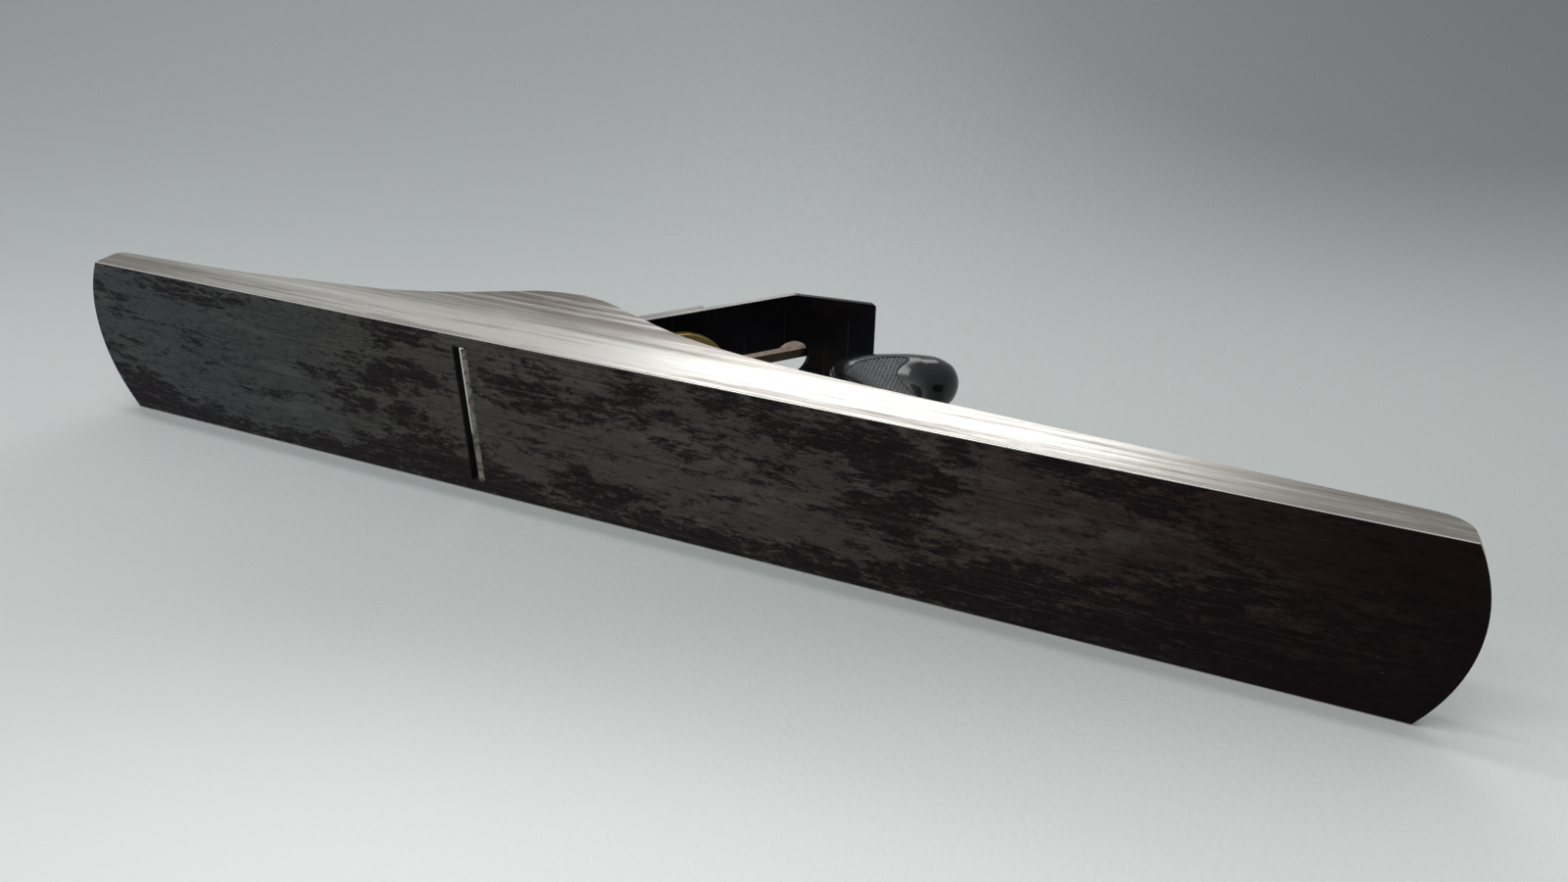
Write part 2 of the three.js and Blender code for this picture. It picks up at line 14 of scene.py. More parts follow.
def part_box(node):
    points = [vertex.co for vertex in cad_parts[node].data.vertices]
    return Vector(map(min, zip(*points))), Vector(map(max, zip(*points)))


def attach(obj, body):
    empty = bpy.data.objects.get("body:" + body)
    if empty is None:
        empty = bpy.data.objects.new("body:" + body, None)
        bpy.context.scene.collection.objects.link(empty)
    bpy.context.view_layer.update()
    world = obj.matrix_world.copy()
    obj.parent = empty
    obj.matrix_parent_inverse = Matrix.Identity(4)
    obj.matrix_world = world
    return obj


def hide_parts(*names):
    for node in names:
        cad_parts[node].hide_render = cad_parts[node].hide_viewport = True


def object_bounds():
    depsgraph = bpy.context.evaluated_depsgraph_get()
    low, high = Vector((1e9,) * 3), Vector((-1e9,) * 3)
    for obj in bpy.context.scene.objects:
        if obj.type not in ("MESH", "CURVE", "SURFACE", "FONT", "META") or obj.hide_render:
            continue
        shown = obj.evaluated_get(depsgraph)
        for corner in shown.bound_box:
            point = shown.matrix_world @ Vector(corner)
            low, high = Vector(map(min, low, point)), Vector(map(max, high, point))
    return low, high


bl_info = {
    "name": "Jointer plane",
    "version": (1, 0, 0),
    "blender": (4, 5, 0),
    "location": "View3D > Sidebar > Plane",
    "description": "Builds the visible pieces and finishes of an iron jointer plane",
    "category": "Object",
}

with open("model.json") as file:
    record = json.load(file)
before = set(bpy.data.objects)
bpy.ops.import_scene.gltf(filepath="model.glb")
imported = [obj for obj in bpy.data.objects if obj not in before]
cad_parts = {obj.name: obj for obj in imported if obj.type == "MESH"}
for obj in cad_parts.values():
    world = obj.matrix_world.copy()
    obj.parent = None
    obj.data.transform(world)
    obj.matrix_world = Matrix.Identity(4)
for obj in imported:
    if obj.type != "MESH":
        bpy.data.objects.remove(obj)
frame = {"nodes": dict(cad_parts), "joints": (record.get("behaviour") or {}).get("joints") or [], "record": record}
cad_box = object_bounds()

MM = 0.001
SQUARE_TO_BED = math.sqrt(0.5)
CRISP_FOLD = 34  # degrees: folds sharper than this stay crisp
# how far up the bed from the iron's edge the lever cap's screw and the cap iron's screw are
FULCRUM_UP_BED = 47 * MM
CLAMP_UP_BED = 35 * MM

# The bed's own frame: first axis up along the iron, third axis square to the iron's flat face.
BED = Matrix((
    (-SQUARE_TO_BED, 0, SQUARE_TO_BED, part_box("plane_iron")[1].x),
    (0, -1, 0, 0),
    (SQUARE_TO_BED, 0, SQUARE_TO_BED, 0),
    (0, 0, 0, 1),
))


# ---------------- settings


def colour(name, description, default):
    return FloatVectorProperty(name=name, description=description, subtype="COLOR", size=3,
                               min=0, max=1, default=default)


def length(name, description, default):
    return FloatProperty(name=name, description=description, default=default, min=0,
                         subtype="DISTANCE", unit="LENGTH", precision=5)


class BodySettings(bpy.types.PropertyGroup):
    """Iron body, frog and cutting irons"""

    edge_round: length("Edge rounding", "Wear on the arrises of the castings", 0.0003)
    sole_heel: colour("Sole at the heel", "Brown-black patina", (0.062, 0.036, 0.033))
    sole_middle: colour("Sole in the middle", "Grey-olive patina", (0.100, 0.092, 0.079))
    sole_toe: colour("Sole at the toe", "Slate-grey patina", (0.090, 0.096, 0.100))
    stain: colour("Sole stains", "Old oil stains", (0.013, 0.0075, 0.0115))
    cheek_bright: colour("Bright cheek", "Iron polished by handling", (0.64, 0.62, 0.585))
    # the dull cheek colour is browned iron, and also painted shade towards the cheeks' ends and the hump's top
    cheek_dull: colour("Dull cheek", "Iron that has browned", (0.165, 0.138, 0.12))
    japan: colour("Japanning", "Black baked varnish inside the casting", (0.011, 0.011, 0.012))
    iron_dark: colour("Cutting iron", "Blue-black patina", (0.0055, 0.0055, 0.008))
    iron_rust: colour("Cutting iron stains", "Brown patina", (0.022, 0.0115, 0.009))


class GripSettings(bpy.types.PropertyGroup):
    """Moulded grip and front knob"""

    half_thickness: length("Half thickness", "At the foot of the grip", 0.0125)
    diamond_pitch: length("Diamond pitch", "Between two grooves of the checkering", 0.0016)
    diamond_height: length("Diamond height", "Height of the checkering's points", 0.00055)
    rubber: colour("Hard rubber", "Black moulded rubber", (0.0065, 0.0068, 0.0078))
    # the checkering's lighter grey is partly rubbed wear and partly painted sheen standing in for the diamonds'
    # highlights
    rubbed_and_painted_sheen: colour("Rubbed points", "Points of the checkering, greyed by the hand", (0.024, 0.026, 0.029))


class AdjusterSettings(bpy.types.PropertyGroup):
    """Depth adjuster, cap and fastenings"""

    wheel_teeth: IntProperty(name="Wheel teeth", description="Serrations round the wheel",
                             default=110, min=20)
    tooth_depth: length("Tooth depth", "Depth of the wheel's serrations", 0.00045)
    thread_pitch: length("Thread pitch", "One turn of the adjusting screw", 0.00125)
    brass: colour("Brass", "Clean brass", (0.46, 0.34, 0.13))
    brass_old: colour("Old brass", "Tarnish", (0.13, 0.095, 0.042))
    steel: colour("Steel", "Fastenings", (0.16, 0.155, 0.15))
    bronze: colour("Bronze", "Locking lever", (0.082, 0.060, 0.042))
    cap: colour("Lever cap", "Dull plated iron", (0.36, 0.35, 0.33))


class StageSettings(bpy.types.PropertyGroup):
    """Floor, light and camera"""

    floor: colour("Floor", "Pale grey", (0.450, 0.473, 0.470))
    # the floor colours in front and behind are painted light and shade on the sweep; the colour behind also tints
    # faint clouds on both floors
    floor_near: colour("Floor in front", "Where the light falls on it", (0.66, 0.688, 0.678))
    floor_far: colour("Floor behind", "Where it sweeps up out of the light", (0.19, 0.203, 0.212))
    softbox_power: FloatProperty(name="Softbox", description="Main light", default=1.85, min=0,
                                 unit="POWER")
    tube_power: FloatProperty(name="Tube", description="Each of three long lights overhead",
                              default=3.3, min=0, unit="POWER")
    sky: FloatProperty(name="Room light", description="Strength of the room's own light",
                       default=0.46, min=0)
    focal_length: FloatProperty(name="Focal length", description="Camera lens in millimetres",
                                default=27.145, min=1)


# ---------------- finishes


# body casting
RUBBED_SOLE = (0.20, 0.20, 0.185)
SPECKLED_SOLE = (0.20, 0.19, 0.175)
SCRATCHED_SOLE = (0.22, 0.21, 0.20)
HEEL_BLACK = (0.008, 0.0025, 0.004)
NICKED_IRON = (0.5, 0.49, 0.46)
CHEEK_STREAK = (0.15, 0.13, 0.115)
POLISHED_IRON = (0.80, 0.79, 0.76)
CHIPPED_VARNISH = (0.075, 0.045, 0.032)
# frog
FROG_CHIP = (0.085, 0.05, 0.034)
DUSTY_JAPAN = (0.022, 0.021, 0.021)
# cutting irons
STEEL_SPECK = (0.012, 0.010, 0.011)
STEEL_SCRATCH = (0.17, 0.16, 0.15)
BARE_STEEL = (0.30, 0.29, 0.28)
GROUND_STEEL = (0.36, 0.335, 0.29)
GROUND_STAIN = (0.14, 0.115, 0.085)
# cap, fastenings and rubber
CAP_DIRT = (0.12, 0.105, 0.09)
BRONZE_TARNISH = (0.062, 0.042, 0.026)
STEEL_RUST = (0.05, 0.04, 0.035)
SCREW_RUST = (0.045, 0.036, 0.03)
RUBBER_SCUFF = (0.045, 0.045, 0.048)
# room light
ROOM_TINT = (0.97, 1.0, 0.99, 1)


class Finish:
    """One procedural finish: shader nodes that read the place on the piece, in metres."""

    def __init__(self, name):
        self.material = bpy.data.materials.new(name)
        self.material.use_nodes = True
        self.tree = self.material.node_tree
        self.shader = self.tree.nodes["Principled BSDF"]
        self.place = self.tree.nodes.new("ShaderNodeTexCoord").outputs["Object"]
        split = self.tree.nodes.new("ShaderNodeSeparateXYZ")
        self.tree.links.new(self.place, split.inputs[0])
        self.x, self.y, self.z = split.outputs

    def put(self, socket, value):
        """Links a node's output to a socket, or sets a plain value on it."""
        if isinstance(value, bpy.types.NodeSocket):
            self.tree.links.new(value, socket)
        elif socket.type == "RGBA" and len(value) == 3:
            socket.default_value = (*value, 1)
        else:
            socket.default_value = value

    def calc(self, operation, a, b=0.0):
        node = self.tree.nodes.new("ShaderNodeMath")
        node.operation = operation
        for socket, value in zip(node.inputs, (a, b)):
            self.put(socket, value)
        return node.outputs[0]

    def span(self, value, low, high, start=0.0, end=1.0):
        """Softly from start to end while the value goes from low to high."""
        node = self.tree.nodes.new("ShaderNodeMapRange")
        node.interpolation_type = "SMOOTHSTEP"
        for socket, given in zip(node.inputs, (value, low, high, start, end)):
            self.put(socket, given)
        return node.outputs[0]

    def noise(self, stretch, detail=4.0, rough=0.55, shift=0.0, warp=0.0):
        """Cloudy pattern. Stretch says how many features there are in a metre, along all axes alike or
        along each, and shift moves the pattern so that no two are alike."""
        mapping = self.tree.nodes.new("ShaderNodeMapping")
        mapping.inputs["Scale"].default_value = stretch if isinstance(stretch, tuple) else (stretch,) * 3
        mapping.inputs["Location"].default_value = (shift, shift * 1.7, shift * 0.6)
        self.tree.links.new(self.place, mapping.inputs[0])
        node = self.tree.nodes.new("ShaderNodeTexNoise")
        node.inputs["Scale"].default_value = 1.0
        node.inputs["Detail"].default_value = detail
        node.inputs["Roughness"].default_value = rough
        node.inputs["Distortion"].default_value = warp
        self.tree.links.new(mapping.outputs[0], node.inputs["Vector"])
        return node.outputs[0]

    def mix(self, share, a, b):
        """Colour between a and b."""
        node = self.tree.nodes.new("ShaderNodeMix")
        node.data_type = "RGBA"
        self.put(node.inputs[0], share)
        self.put(node.inputs[6], a)
        self.put(node.inputs[7], b)
        return node.outputs[2]

    def blend(self, share, a, b):
        """Number between a and b."""
        node = self.tree.nodes.new("ShaderNodeMix")
        self.put(node.inputs[0], share)
        self.put(node.inputs[2], a)
        self.put(node.inputs[3], b)
        return node.outputs[0]

    def relief(self, height, depth, strength, under=None):
        """Fine relief on the surface, on top of another one if given."""
        node = self.tree.nodes.new("ShaderNodeBump")
        node.inputs["Strength"].default_value = strength
        node.inputs["Distance"].default_value = depth
        self.put(node.inputs["Height"], height)
        if under is not None:
            self.put(node.inputs["Normal"], under)
        return node.outputs[0]

    def along(self, direction):
        """Distance from the origin along a direction."""
        node = self.tree.nodes.new("ShaderNodeVectorMath")
        node.operation = "DOT_PRODUCT"
        self.tree.links.new(self.place, node.inputs[0])
        node.inputs[1].default_value = direction
        return node.outputs["Value"]

    def bed_up(self):
        """Distance up along the cutting iron from its edge."""
        across = self.calc("SUBTRACT", BED[0][3], self.x)
        return self.calc("MULTIPLY", self.calc("ADD", across, self.z), SQUARE_TO_BED)

    def set(self, **values):
        names = {"colour": "Base Color", "metal": "Metallic", "rough": "Roughness", "normal": "Normal",
                 "specular": "Specular IOR Level"}
        for name, value in values.items():
            self.put(self.shader.inputs[names[name]], value)
        return self.material


def sole_patina(f, s):
    """Colour, fine speckle and scratches: tone along the sole, then stains, wear, scratches and nicks."""
    heel_half = f.mix(f.span(f.x, -0.22, 0.0), s.sole_heel, s.sole_middle)
    tone = f.mix(f.span(f.x, 0.02, 0.24), heel_half, s.sole_toe)
    large = f.noise((13, 32, 30), 6, 0.62, 3.1, 0.5)
    ragged = f.noise((75, 210, 190), 11, 0.86, 9.3, 0.25)
    fine = f.noise((150, 520, 450), 9, 0.84, 11.0)
    clouds = f.calc("ADD", f.blend(0.55, large, ragged), f.span(fine, 0.35, 0.65, -0.022, 0.022))
    heel_more = f.span(f.x, 0.16, -0.16, 0.0, 0.022)
    edge_more = f.span(f.y, -0.012, -0.034, 0.0, 0.05)
    level = f.calc("ADD", clouds, f.calc("ADD", heel_more, edge_more))
    stained = f.span(level, 0.508, 0.534, 0.0, 0.90)
    worn = f.span(f.noise((24, 62, 60), 9, 0.75, 7.7), 0.52, 0.60, 0.0, 0.55)
    streaks = f.noise((8, 1300, 900), 3, 0.6, 1.3)
    sole = f.mix(worn, tone, f.mix(0.5, tone, RUBBED_SOLE))
    sole = f.mix(stained, sole, s.stain)
    sole = f.mix(f.span(fine, 0.53, 0.58, 0.0, 0.55), sole, s.stain)
    sole = f.mix(f.span(fine, 0.46, 0.41, 0.0, 0.35), sole, f.mix(0.5, tone, SPECKLED_SOLE))
    sole = f.mix(f.span(streaks, 0.56, 0.70, 0.0, 0.30), sole, f.mix(0.5, tone, SCRATCHED_SOLE))
    sole = f.mix(f.span(streaks, 0.44, 0.32, 0.0, 0.55), sole, s.stain)
    sole = f.mix(f.span(f.x, -0.13, -0.27, 0.0, 0.86), sole, HEEL_BLACK)
    nicks = f.span(f.noise((420, 1500, 900), 2, 0.5, 5.2), 0.79, 0.82)
    sole = f.mix(nicks, sole, NICKED_IRON)
    return sole, fine, streaks


def brushed_cheeks(f, s):
    """Colour and brushing along their length, browner to the hump's top and to both ends: partly browned iron,
    partly painted shade where the cheeks' highlight falls off.
    """
    brushing = f.noise((6, 20, 330), 8, 0.74, 2.4)
    coarse = f.noise((11, 20, 120), 6, 0.7, 8.8)
    # painted shade on top of real browning: the cheek darkens towards both ends and up to the hump's top, where
    # its highlight falls off
    ends = f.calc("MAXIMUM", f.span(f.x, 0.12, 0.27), f.span(f.x, -0.11, -0.26))
    high = f.span(f.z, 0.010, 0.037)
    browned_and_shaded = f.calc("MAXIMUM", f.calc("MULTIPLY", ends, 0.8), high)
    browned_and_shaded = f.calc("MULTIPLY", browned_and_shaded, f.span(coarse, 0.38, 0.54, 0.68, 1.0))
    patch = f.span(coarse, 0.50, 0.62, 0.0, 0.5)
    cheek = f.mix(f.calc("MAXIMUM", browned_and_shaded, patch), s.cheek_bright, s.cheek_dull)
    cheek = f.mix(f.span(brushing, 0.51, 0.62, 0.0, 0.6), cheek, CHEEK_STREAK)
    cheek = f.mix(f.span(brushing, 0.46, 0.36, 0.0, 0.55), cheek, POLISHED_IRON)
    return cheek, brushing


def worn_body(s):
    """Stained sole, brushed bright cheeks, black varnish inside, and bare worn arrises."""
    f = Finish("worn_cast_iron")
    side = f.calc("ABSOLUTE", f.y)
    sole, fine, streaks = sole_patina(f, s)
    cheek, brushing = brushed_cheeks(f, s)
    # where each finish lies: the cheeks' outer faces are 36 mm from the middle, and their inner faces 32 mm
    is_sole = f.span(f.z, 0.0009, 0.0004)
    is_cheek = f.span(side, 0.0350, 0.0354)
    arris = f.calc("MULTIPLY", f.span(side, 0.03565, 0.03575), f.span(f.z, 0.0004, 0.0003))
    wobble = f.calc("MULTIPLY", f.noise(60, 4), 0.0012)
    inside = f.calc("MULTIPLY", f.span(f.calc("ADD", side, wobble), 0.0335, 0.0332),
                    f.span(f.z, 0.0040, 0.0047))
    from_mouth = f.calc("ABSOLUTE", f.calc("SUBTRACT", f.x, BED[0][3]))
    throat = f.calc("MULTIPLY", f.span(from_mouth, 0.016, 0.014), f.span(f.z, 0.0003, 0.0005))
    inside = f.calc("MAXIMUM", inside, f.calc("MULTIPLY", throat, f.span(side, 0.0330, 0.0325)))
    chips = f.span(f.noise(85, 8, 0.72, 4.4), 0.60, 0.63)
    varnish = f.mix(f.calc("MULTIPLY", chips, 0.85), s.japan, CHIPPED_VARNISH)
    metal_colour = f.mix(is_sole, f.mix(0.35, cheek, s.cheek_dull), sole)
    metal_colour = f.mix(is_cheek, metal_colour, f.mix(is_sole, cheek, sole))
    metal_colour = f.mix(arris, metal_colour, POLISHED_IRON)
    colour_all = f.mix(inside, metal_colour, varnish)
    rough_sole = f.span(fine, 0.3, 0.7, 0.36, 0.58)
    rough_cheek = f.span(brushing, 0.3, 0.7, 0.30, 0.46)
    rough = f.blend(is_sole, rough_cheek, rough_sole)
    rough = f.blend(arris, rough, 0.28)
    rough = f.blend(inside, rough, f.span(chips, 0.0, 1.0, 0.30, 0.7))
    metal = f.blend(is_sole, 0.96, 0.72)
    metal = f.calc("MULTIPLY", metal, f.blend(inside, 1.0, f.calc("MULTIPLY", chips, 0.5)))
    hammered = f.noise(240, 5, 0.6, 9.0)
    lines = f.blend(is_sole, brushing, streaks)
    bump = f.relief(f.blend(inside, lines, f.calc("MULTIPLY", hammered, 2.5)), 0.00006, 0.8)
    bump = f.relief(fine, 0.00004, 0.5, bump)
    return f.set(colour=colour_all, metal=metal, rough=rough, normal=bump, specular=0.32)


def japanned(s):
    """Black baked varnish over cast iron, chipped to brown iron here and there."""
    f = Finish("japanned_iron")
    chips = f.span(f.noise(130, 8, 0.72, 2.2), 0.60, 0.63)
    cast = f.noise(420, 4, 0.6, 1.0)
    base = f.mix(f.span(cast, 0.3, 0.7, 0.0, 0.5), s.japan, DUSTY_JAPAN)
    return f.set(colour=f.mix(chips, base, FROG_CHIP), metal=f.calc("MULTIPLY", chips, 0.6),
                 rough=f.blend(chips, f.span(cast, 0.3, 0.7, 0.26, 0.42), 0.7),
                 normal=f.relief(cast, 0.00018, 0.7))


def patinated_iron(s):
    """Blue-black tool steel with brown stains, bright at its ground bevel and thin along its arrises."""
    f = Finish("patinated_tool_steel")
    clouds = f.noise(26, 9, 0.7, 6.0, 0.5)
    fine = f.noise(330, 6, 0.7, 1.5)
    drag = f.noise((900, 14, 900), 3, 0.6, 3.3)
    base = f.mix(f.span(clouds, 0.44, 0.64), s.iron_dark, s.iron_rust)
    base = f.mix(f.span(fine, 0.55, 0.66, 0.0, 0.6), base, STEEL_SPECK)
    base = f.mix(f.span(drag, 0.62, 0.74, 0.0, 0.3), base, STEEL_SCRATCH)
    up = f.bed_up()
    ground = f.span(up, 0.0056, 0.0052)
    side = f.calc("ABSOLUTE", f.y)
    arris = f.calc("MAXIMUM", f.span(side, 0.02975, 0.0300), f.span(up, 0.17855, 0.1788))
    base = f.mix(f.calc("MULTIPLY", arris, 0.75), base, BARE_STEEL)
    base = f.mix(ground, base, f.mix(f.span(fine, 0.44, 0.6), GROUND_STEEL, GROUND_STAIN))
    rough = f.span(clouds, 0.3, 0.7, 0.34, 0.56)
    return f.set(colour=base, metal=f.blend(ground, 0.82, 0.35), rough=f.blend(ground, rough, 0.55),
                 normal=f.relief(f.calc("ADD", fine, drag), 0.00005, 0.6), specular=0.3)


def plain_metal(name, bright, dark, rough=(0.28, 0.5), grain=500):
    """A handled metal: bright, with tarnish in clouds and fine grain."""
    f = Finish(name)
    clouds = f.noise(95, 8, 0.68, 4.0, 0.3)
    fine = f.noise(grain, 5, 0.65, 2.0)
    tarnish = f.span(clouds, 0.52, 0.70)
    base = f.mix(tarnish, bright, dark)
    base = f.mix(f.span(fine, 0.52, 0.7, 0.0, 0.5), base, dark)
    spots = f.span(f.noise(620, 3, 0.6, 8.0), 0.68, 0.72)
    base = f.mix(f.calc("MULTIPLY", spots, 0.7), base, [c * 0.3 for c in dark])
    return f.set(colour=base, metal=0.95, normal=f.relief(fine, 0.00005, 0.7),
                 rough=f.blend(tarnish, f.span(fine, 0.3, 0.7, *rough), rough[1] + 0.06))


def hard_rubber(name, skin, dulled, specular):
    """Glossy black moulded rubber with a faint haze, rubbed scratches and a soft ripple."""
    f = Finish(name)
    haze = f.noise(60, 6, 0.62, 2.6)
    rubs = f.noise((1500, 240, 420), 3, 0.6, 5.0)
    pores = f.noise(1900, 2, 0.5, 9.4)
    base = f.mix(f.span(haze, 0.45, 0.72, 0.0, 0.7), skin, [c * 1.8 for c in skin])
    base = f.mix(f.span(rubs, 0.64, 0.75, 0.0, 0.3), base, RUBBER_SCUFF)
    rough = f.calc("ADD", f.span(haze, 0.3, 0.75, dulled, dulled + 0.1), f.span(rubs, 0.6, 0.75, 0.0, 0.12))
    bump = f.relief(haze, 0.0002, 0.25)
    bump = f.relief(pores, 0.00003, 0.5, bump)
    return f.set(colour=base, rough=rough, normal=bump, specular=specular)


# ---------------- shaping


def add_recipe(obj, name, steps):
    """Gives a piece a modifier whose recipe is made once. steps(group, shape) adds the recipe's nodes
    and returns the finished shape."""
    group = bpy.data.node_groups.get(name)
    if not group:
        group = bpy.data.node_groups.new(name, "GeometryNodeTree")
        for way in ("INPUT", "OUTPUT"):
            group.interface.new_socket(name="Geometry", in_out=way, socket_type="NodeSocketGeometry")
        start, end = group.nodes.new("NodeGroupInput"), group.nodes.new("NodeGroupOutput")
        group.links.new(steps(group, start.outputs[0]), end.inputs[0])
    obj.modifiers.new(name, "NODES").node_group = group


def smoothing(group, shape):
    """Smooth faces, and sharp edges wherever the fold is sharper than the limit."""
    new, link = group.nodes.new, group.links.new
    faces, edges = new("GeometryNodeSetShadeSmooth"), new("GeometryNodeSetShadeSmooth")
    edges.domain = "EDGE"
    fold, flat_enough = new("GeometryNodeInputMeshEdgeAngle"), new("FunctionNodeCompare")
    flat_enough.operation = "LESS_THAN"
    flat_enough.inputs[1].default_value = math.radians(CRISP_FOLD)
    link(shape, faces.inputs[0])
    link(faces.outputs[0], edges.inputs[0])
    link(fold.outputs[0], flat_enough.inputs[0])
    link(flat_enough.outputs[0], edges.inputs["Shade Smooth"])
    return edges.outputs[0]


def welding(group, shape):
    """Joins the corners that faces share, and drops their old normals."""
    bare = group.nodes.new("GeometryNodeRemoveAttribute")
    joined = group.nodes.new("GeometryNodeMergeByDistance")
    bare.inputs["Name"].default_value = "custom_normal"
    joined.inputs["Distance"].default_value = 0.002 * MM
    group.links.new(shape, bare.inputs[0])
    group.links.new(bare.outputs[0], joined.inputs[0])
    return joined.outputs[0]


def shade_smooth(obj):
    """Shades smooth, and keeps sharp folds crisp."""
    add_recipe(obj, "crisp_edges", smoothing)


def shade_flat_faces(obj):
    """Shades smooth with crisp folds, and keeps large flat faces flat."""
    shade_smooth(obj)
    flat = obj.modifiers.new("flat_faces", "WEIGHTED_NORMAL")
    flat.keep_sharp = True


def round_edges(obj, width, segments=2, fold=CRISP_FOLD):
    bevel = obj.modifiers.new("worn_edges", "BEVEL")
    bevel.width = width
    bevel.segments = segments
    bevel.limit_method = "ANGLE"
    bevel.angle_limit = math.radians(fold)
    shade_flat_faces(obj)


def paint(obj, material):
    if not obj.data.materials:
        obj.data.materials.append(material)
    for slot in obj.material_slots:
        slot.material = material


def dress(node, material, width):
    """Gives a frame node its finish, flat faces in one piece and worn edges."""
    obj = frame["nodes"][node]
    paint(obj, material)
    add_recipe(obj, "welded_corners", welding)
    flat = obj.modifiers.new("whole_faces", "DECIMATE")
    flat.decimate_type = "DISSOLVE"
    flat.angle_limit = math.radians(0.4)
    if width:
        round_edges(obj, width)


def new_piece(name, points, faces, matrix=None):
    mesh = bpy.data.meshes.new(name)
    mesh.from_pydata([tuple(p) for p in points], [], faces)
    if matrix is not None:
        mesh.transform(matrix)
    mesh.update()
    obj = bpy.data.objects.new(name, mesh)
    bpy.context.scene.collection.objects.link(obj)
    return obj


def settle(obj, body, nodes, material):
    """Paints a made piece and puts it on its body, in place of the frame nodes it stands for."""
    paint(obj, material)
    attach(obj, body)
    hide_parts(*nodes)


def edit_mesh(obj, edit):
    mesh = bmesh.new()
    mesh.from_mesh(obj.data)
    edit(mesh)
    mesh.to_mesh(obj.data)
    mesh.free()


def face_outward(mesh):
    bmesh.ops.recalc_face_normals(mesh, faces=mesh.faces)


def drop_loose_points(mesh):
    bmesh.ops.delete(mesh, geom=[v for v in mesh.verts if not v.link_faces], context="VERTS")


def tube_faces(rings, around):
    """Faces of a skin over rings of points, with a flat cap at each end."""
    faces = []
    for i in range(rings - 1):
        for j in range(around):
            k = (j + 1) % around
            faces.append((i * around + j, i * around + k, (i + 1) * around + k, (i + 1) * around + j))
    faces.append(tuple(range(around - 1, -1, -1)))
    faces.append(tuple(range((rings - 1) * around, rings * around)))
    return faces


def turned(name, profile, around, matrix, shape=None):
    """A solid turned about its third axis from (radius, height) pairs, bottom first.
    shape(radius, height, angle) may change the radius, for teeth and threads."""
    points = []
    for radius, height in profile:
        for j in range(around):
            angle = 2 * math.pi * j / around
            r = shape(radius, height, angle) if shape else radius
            points.append((r * math.cos(angle), r * math.sin(angle), height))
    return new_piece(name, points, tube_faces(len(profile), around), matrix)


def drill(radius, low, high, matrix, around=32):
    """A round cutter from one height to another."""
    return turned("cutter", [(radius, low), (radius, high)], around, matrix)


def flowing(points, per_span):
    """A smooth line through the points, evenly many samples in each span."""
    p = np.array(points, float)
    ends = np.vstack([2 * p[0] - p[1], p, 2 * p[-1] - p[-2]])
    t = np.linspace(0, 1, per_span, endpoint=False)[:, None]
    line = []
    for i in range(len(p) - 1):
        a, b, c, d = ends[i:i + 4]
        line.append(0.5 * (2 * b + (c - a) * t + (2 * a - 5 * b + 4 * c - d) * t ** 2
                           + (3 * b - a - 3 * c + d) * t ** 3))
    return np.vstack([*line, p[-1:]])


def box_cutter(size, matrix):
    x, y, z = (v / 2 for v in size)
    points = [(sx * x, sy * y, sz * z) for sx in (-1, 1) for sy in (-1, 1) for sz in (-1, 1)]
    faces = [(0, 1, 3, 2), (4, 6, 7, 5), (0, 4, 5, 1), (2, 3, 7, 6), (0, 2, 6, 4), (1, 5, 7, 3)]
    return new_piece("cutter", points, faces, matrix)


def cut_away(obj, cutters):
    """Takes the cutters out of the piece for good."""
    for cutter in cutters:
        tool = obj.modifiers.new("cut", "BOOLEAN")
        tool.operation = "DIFFERENCE"
        tool.solver = "EXACT"
        tool.object = cutter
    bpy.context.view_layer.update()
    solid = obj.evaluated_get(bpy.context.evaluated_depsgraph_get())
    mesh = bpy.data.meshes.new_from_object(solid)
    if not mesh.polygons:
        raise RuntimeError(f"cutting {obj.name} left nothing")
    obj.modifiers.clear()
    obj.data = mesh
    mesh.name = obj.name
    for cutter in cutters:
        bpy.data.objects.remove(cutter)


def dome(radius, low, high, rim):
    """Profile of a screw head: straight rim, then a round top."""
    straight = low + (high - low) * rim
    steps = [math.radians(a) for a in range(0, 91, 9)]
    top = [(radius * math.cos(a), straight + (high - straight) * math.sin(a)) for a in steps[:-1]]
    return [(radius * 0.96, low), (radius, low + 0.04 * radius), *top, (radius * 0.04, high)]


def slotted_screw(name, head, matrix, shank=None, slot_width=0.9 * MM, slot_depth=1.3 * MM, slot_turn=0.0,
                  bore=None):
    """A turned head with a driver's slot. It may have a shank, given as its radius and lower end, and a
    bore, given as its radius and both ends."""
    profile = ([(shank[0], shank[1]), (shank[0], head[0][1])] if shank else []) + head
    screw = turned(name, profile, 56, matrix)
    top = head[-1][1]
    width = 2.4 * max(r for r, _ in head)
    turn = Matrix.Rotation(slot_turn, 4, "Z")
    cutters = [box_cutter((width, slot_width, slot_depth * 2),
                          matrix @ turn @ Matrix.Translation((0, 0, top)))]
    if bore:
        cutters.append(drill(*bore, matrix))
    cut_away(screw, cutters)
    round_edges(screw, 0.12 * MM)
    return screw


def box_and_middle(node):
    low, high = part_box(node)
    return low, high, (low + high) / 2


def grip_rod_place():
    """Top end of the grip's long rod, with the third axis up along it."""
    foot = Vector((-85.2 * MM, 0, 3 * MM))
    top = Vector((-60 * MM, 0, 101.6 * MM))
    tilt = (top - foot).normalized().to_track_quat("Z", "Y").to_matrix().to_4x4()
    return Matrix.Translation(top) @ tilt


def body_of(node):
    return next(body for body, members in frame["record"]["behaviour"]["bodies"].items() if node in members)


# ---------------- pieces


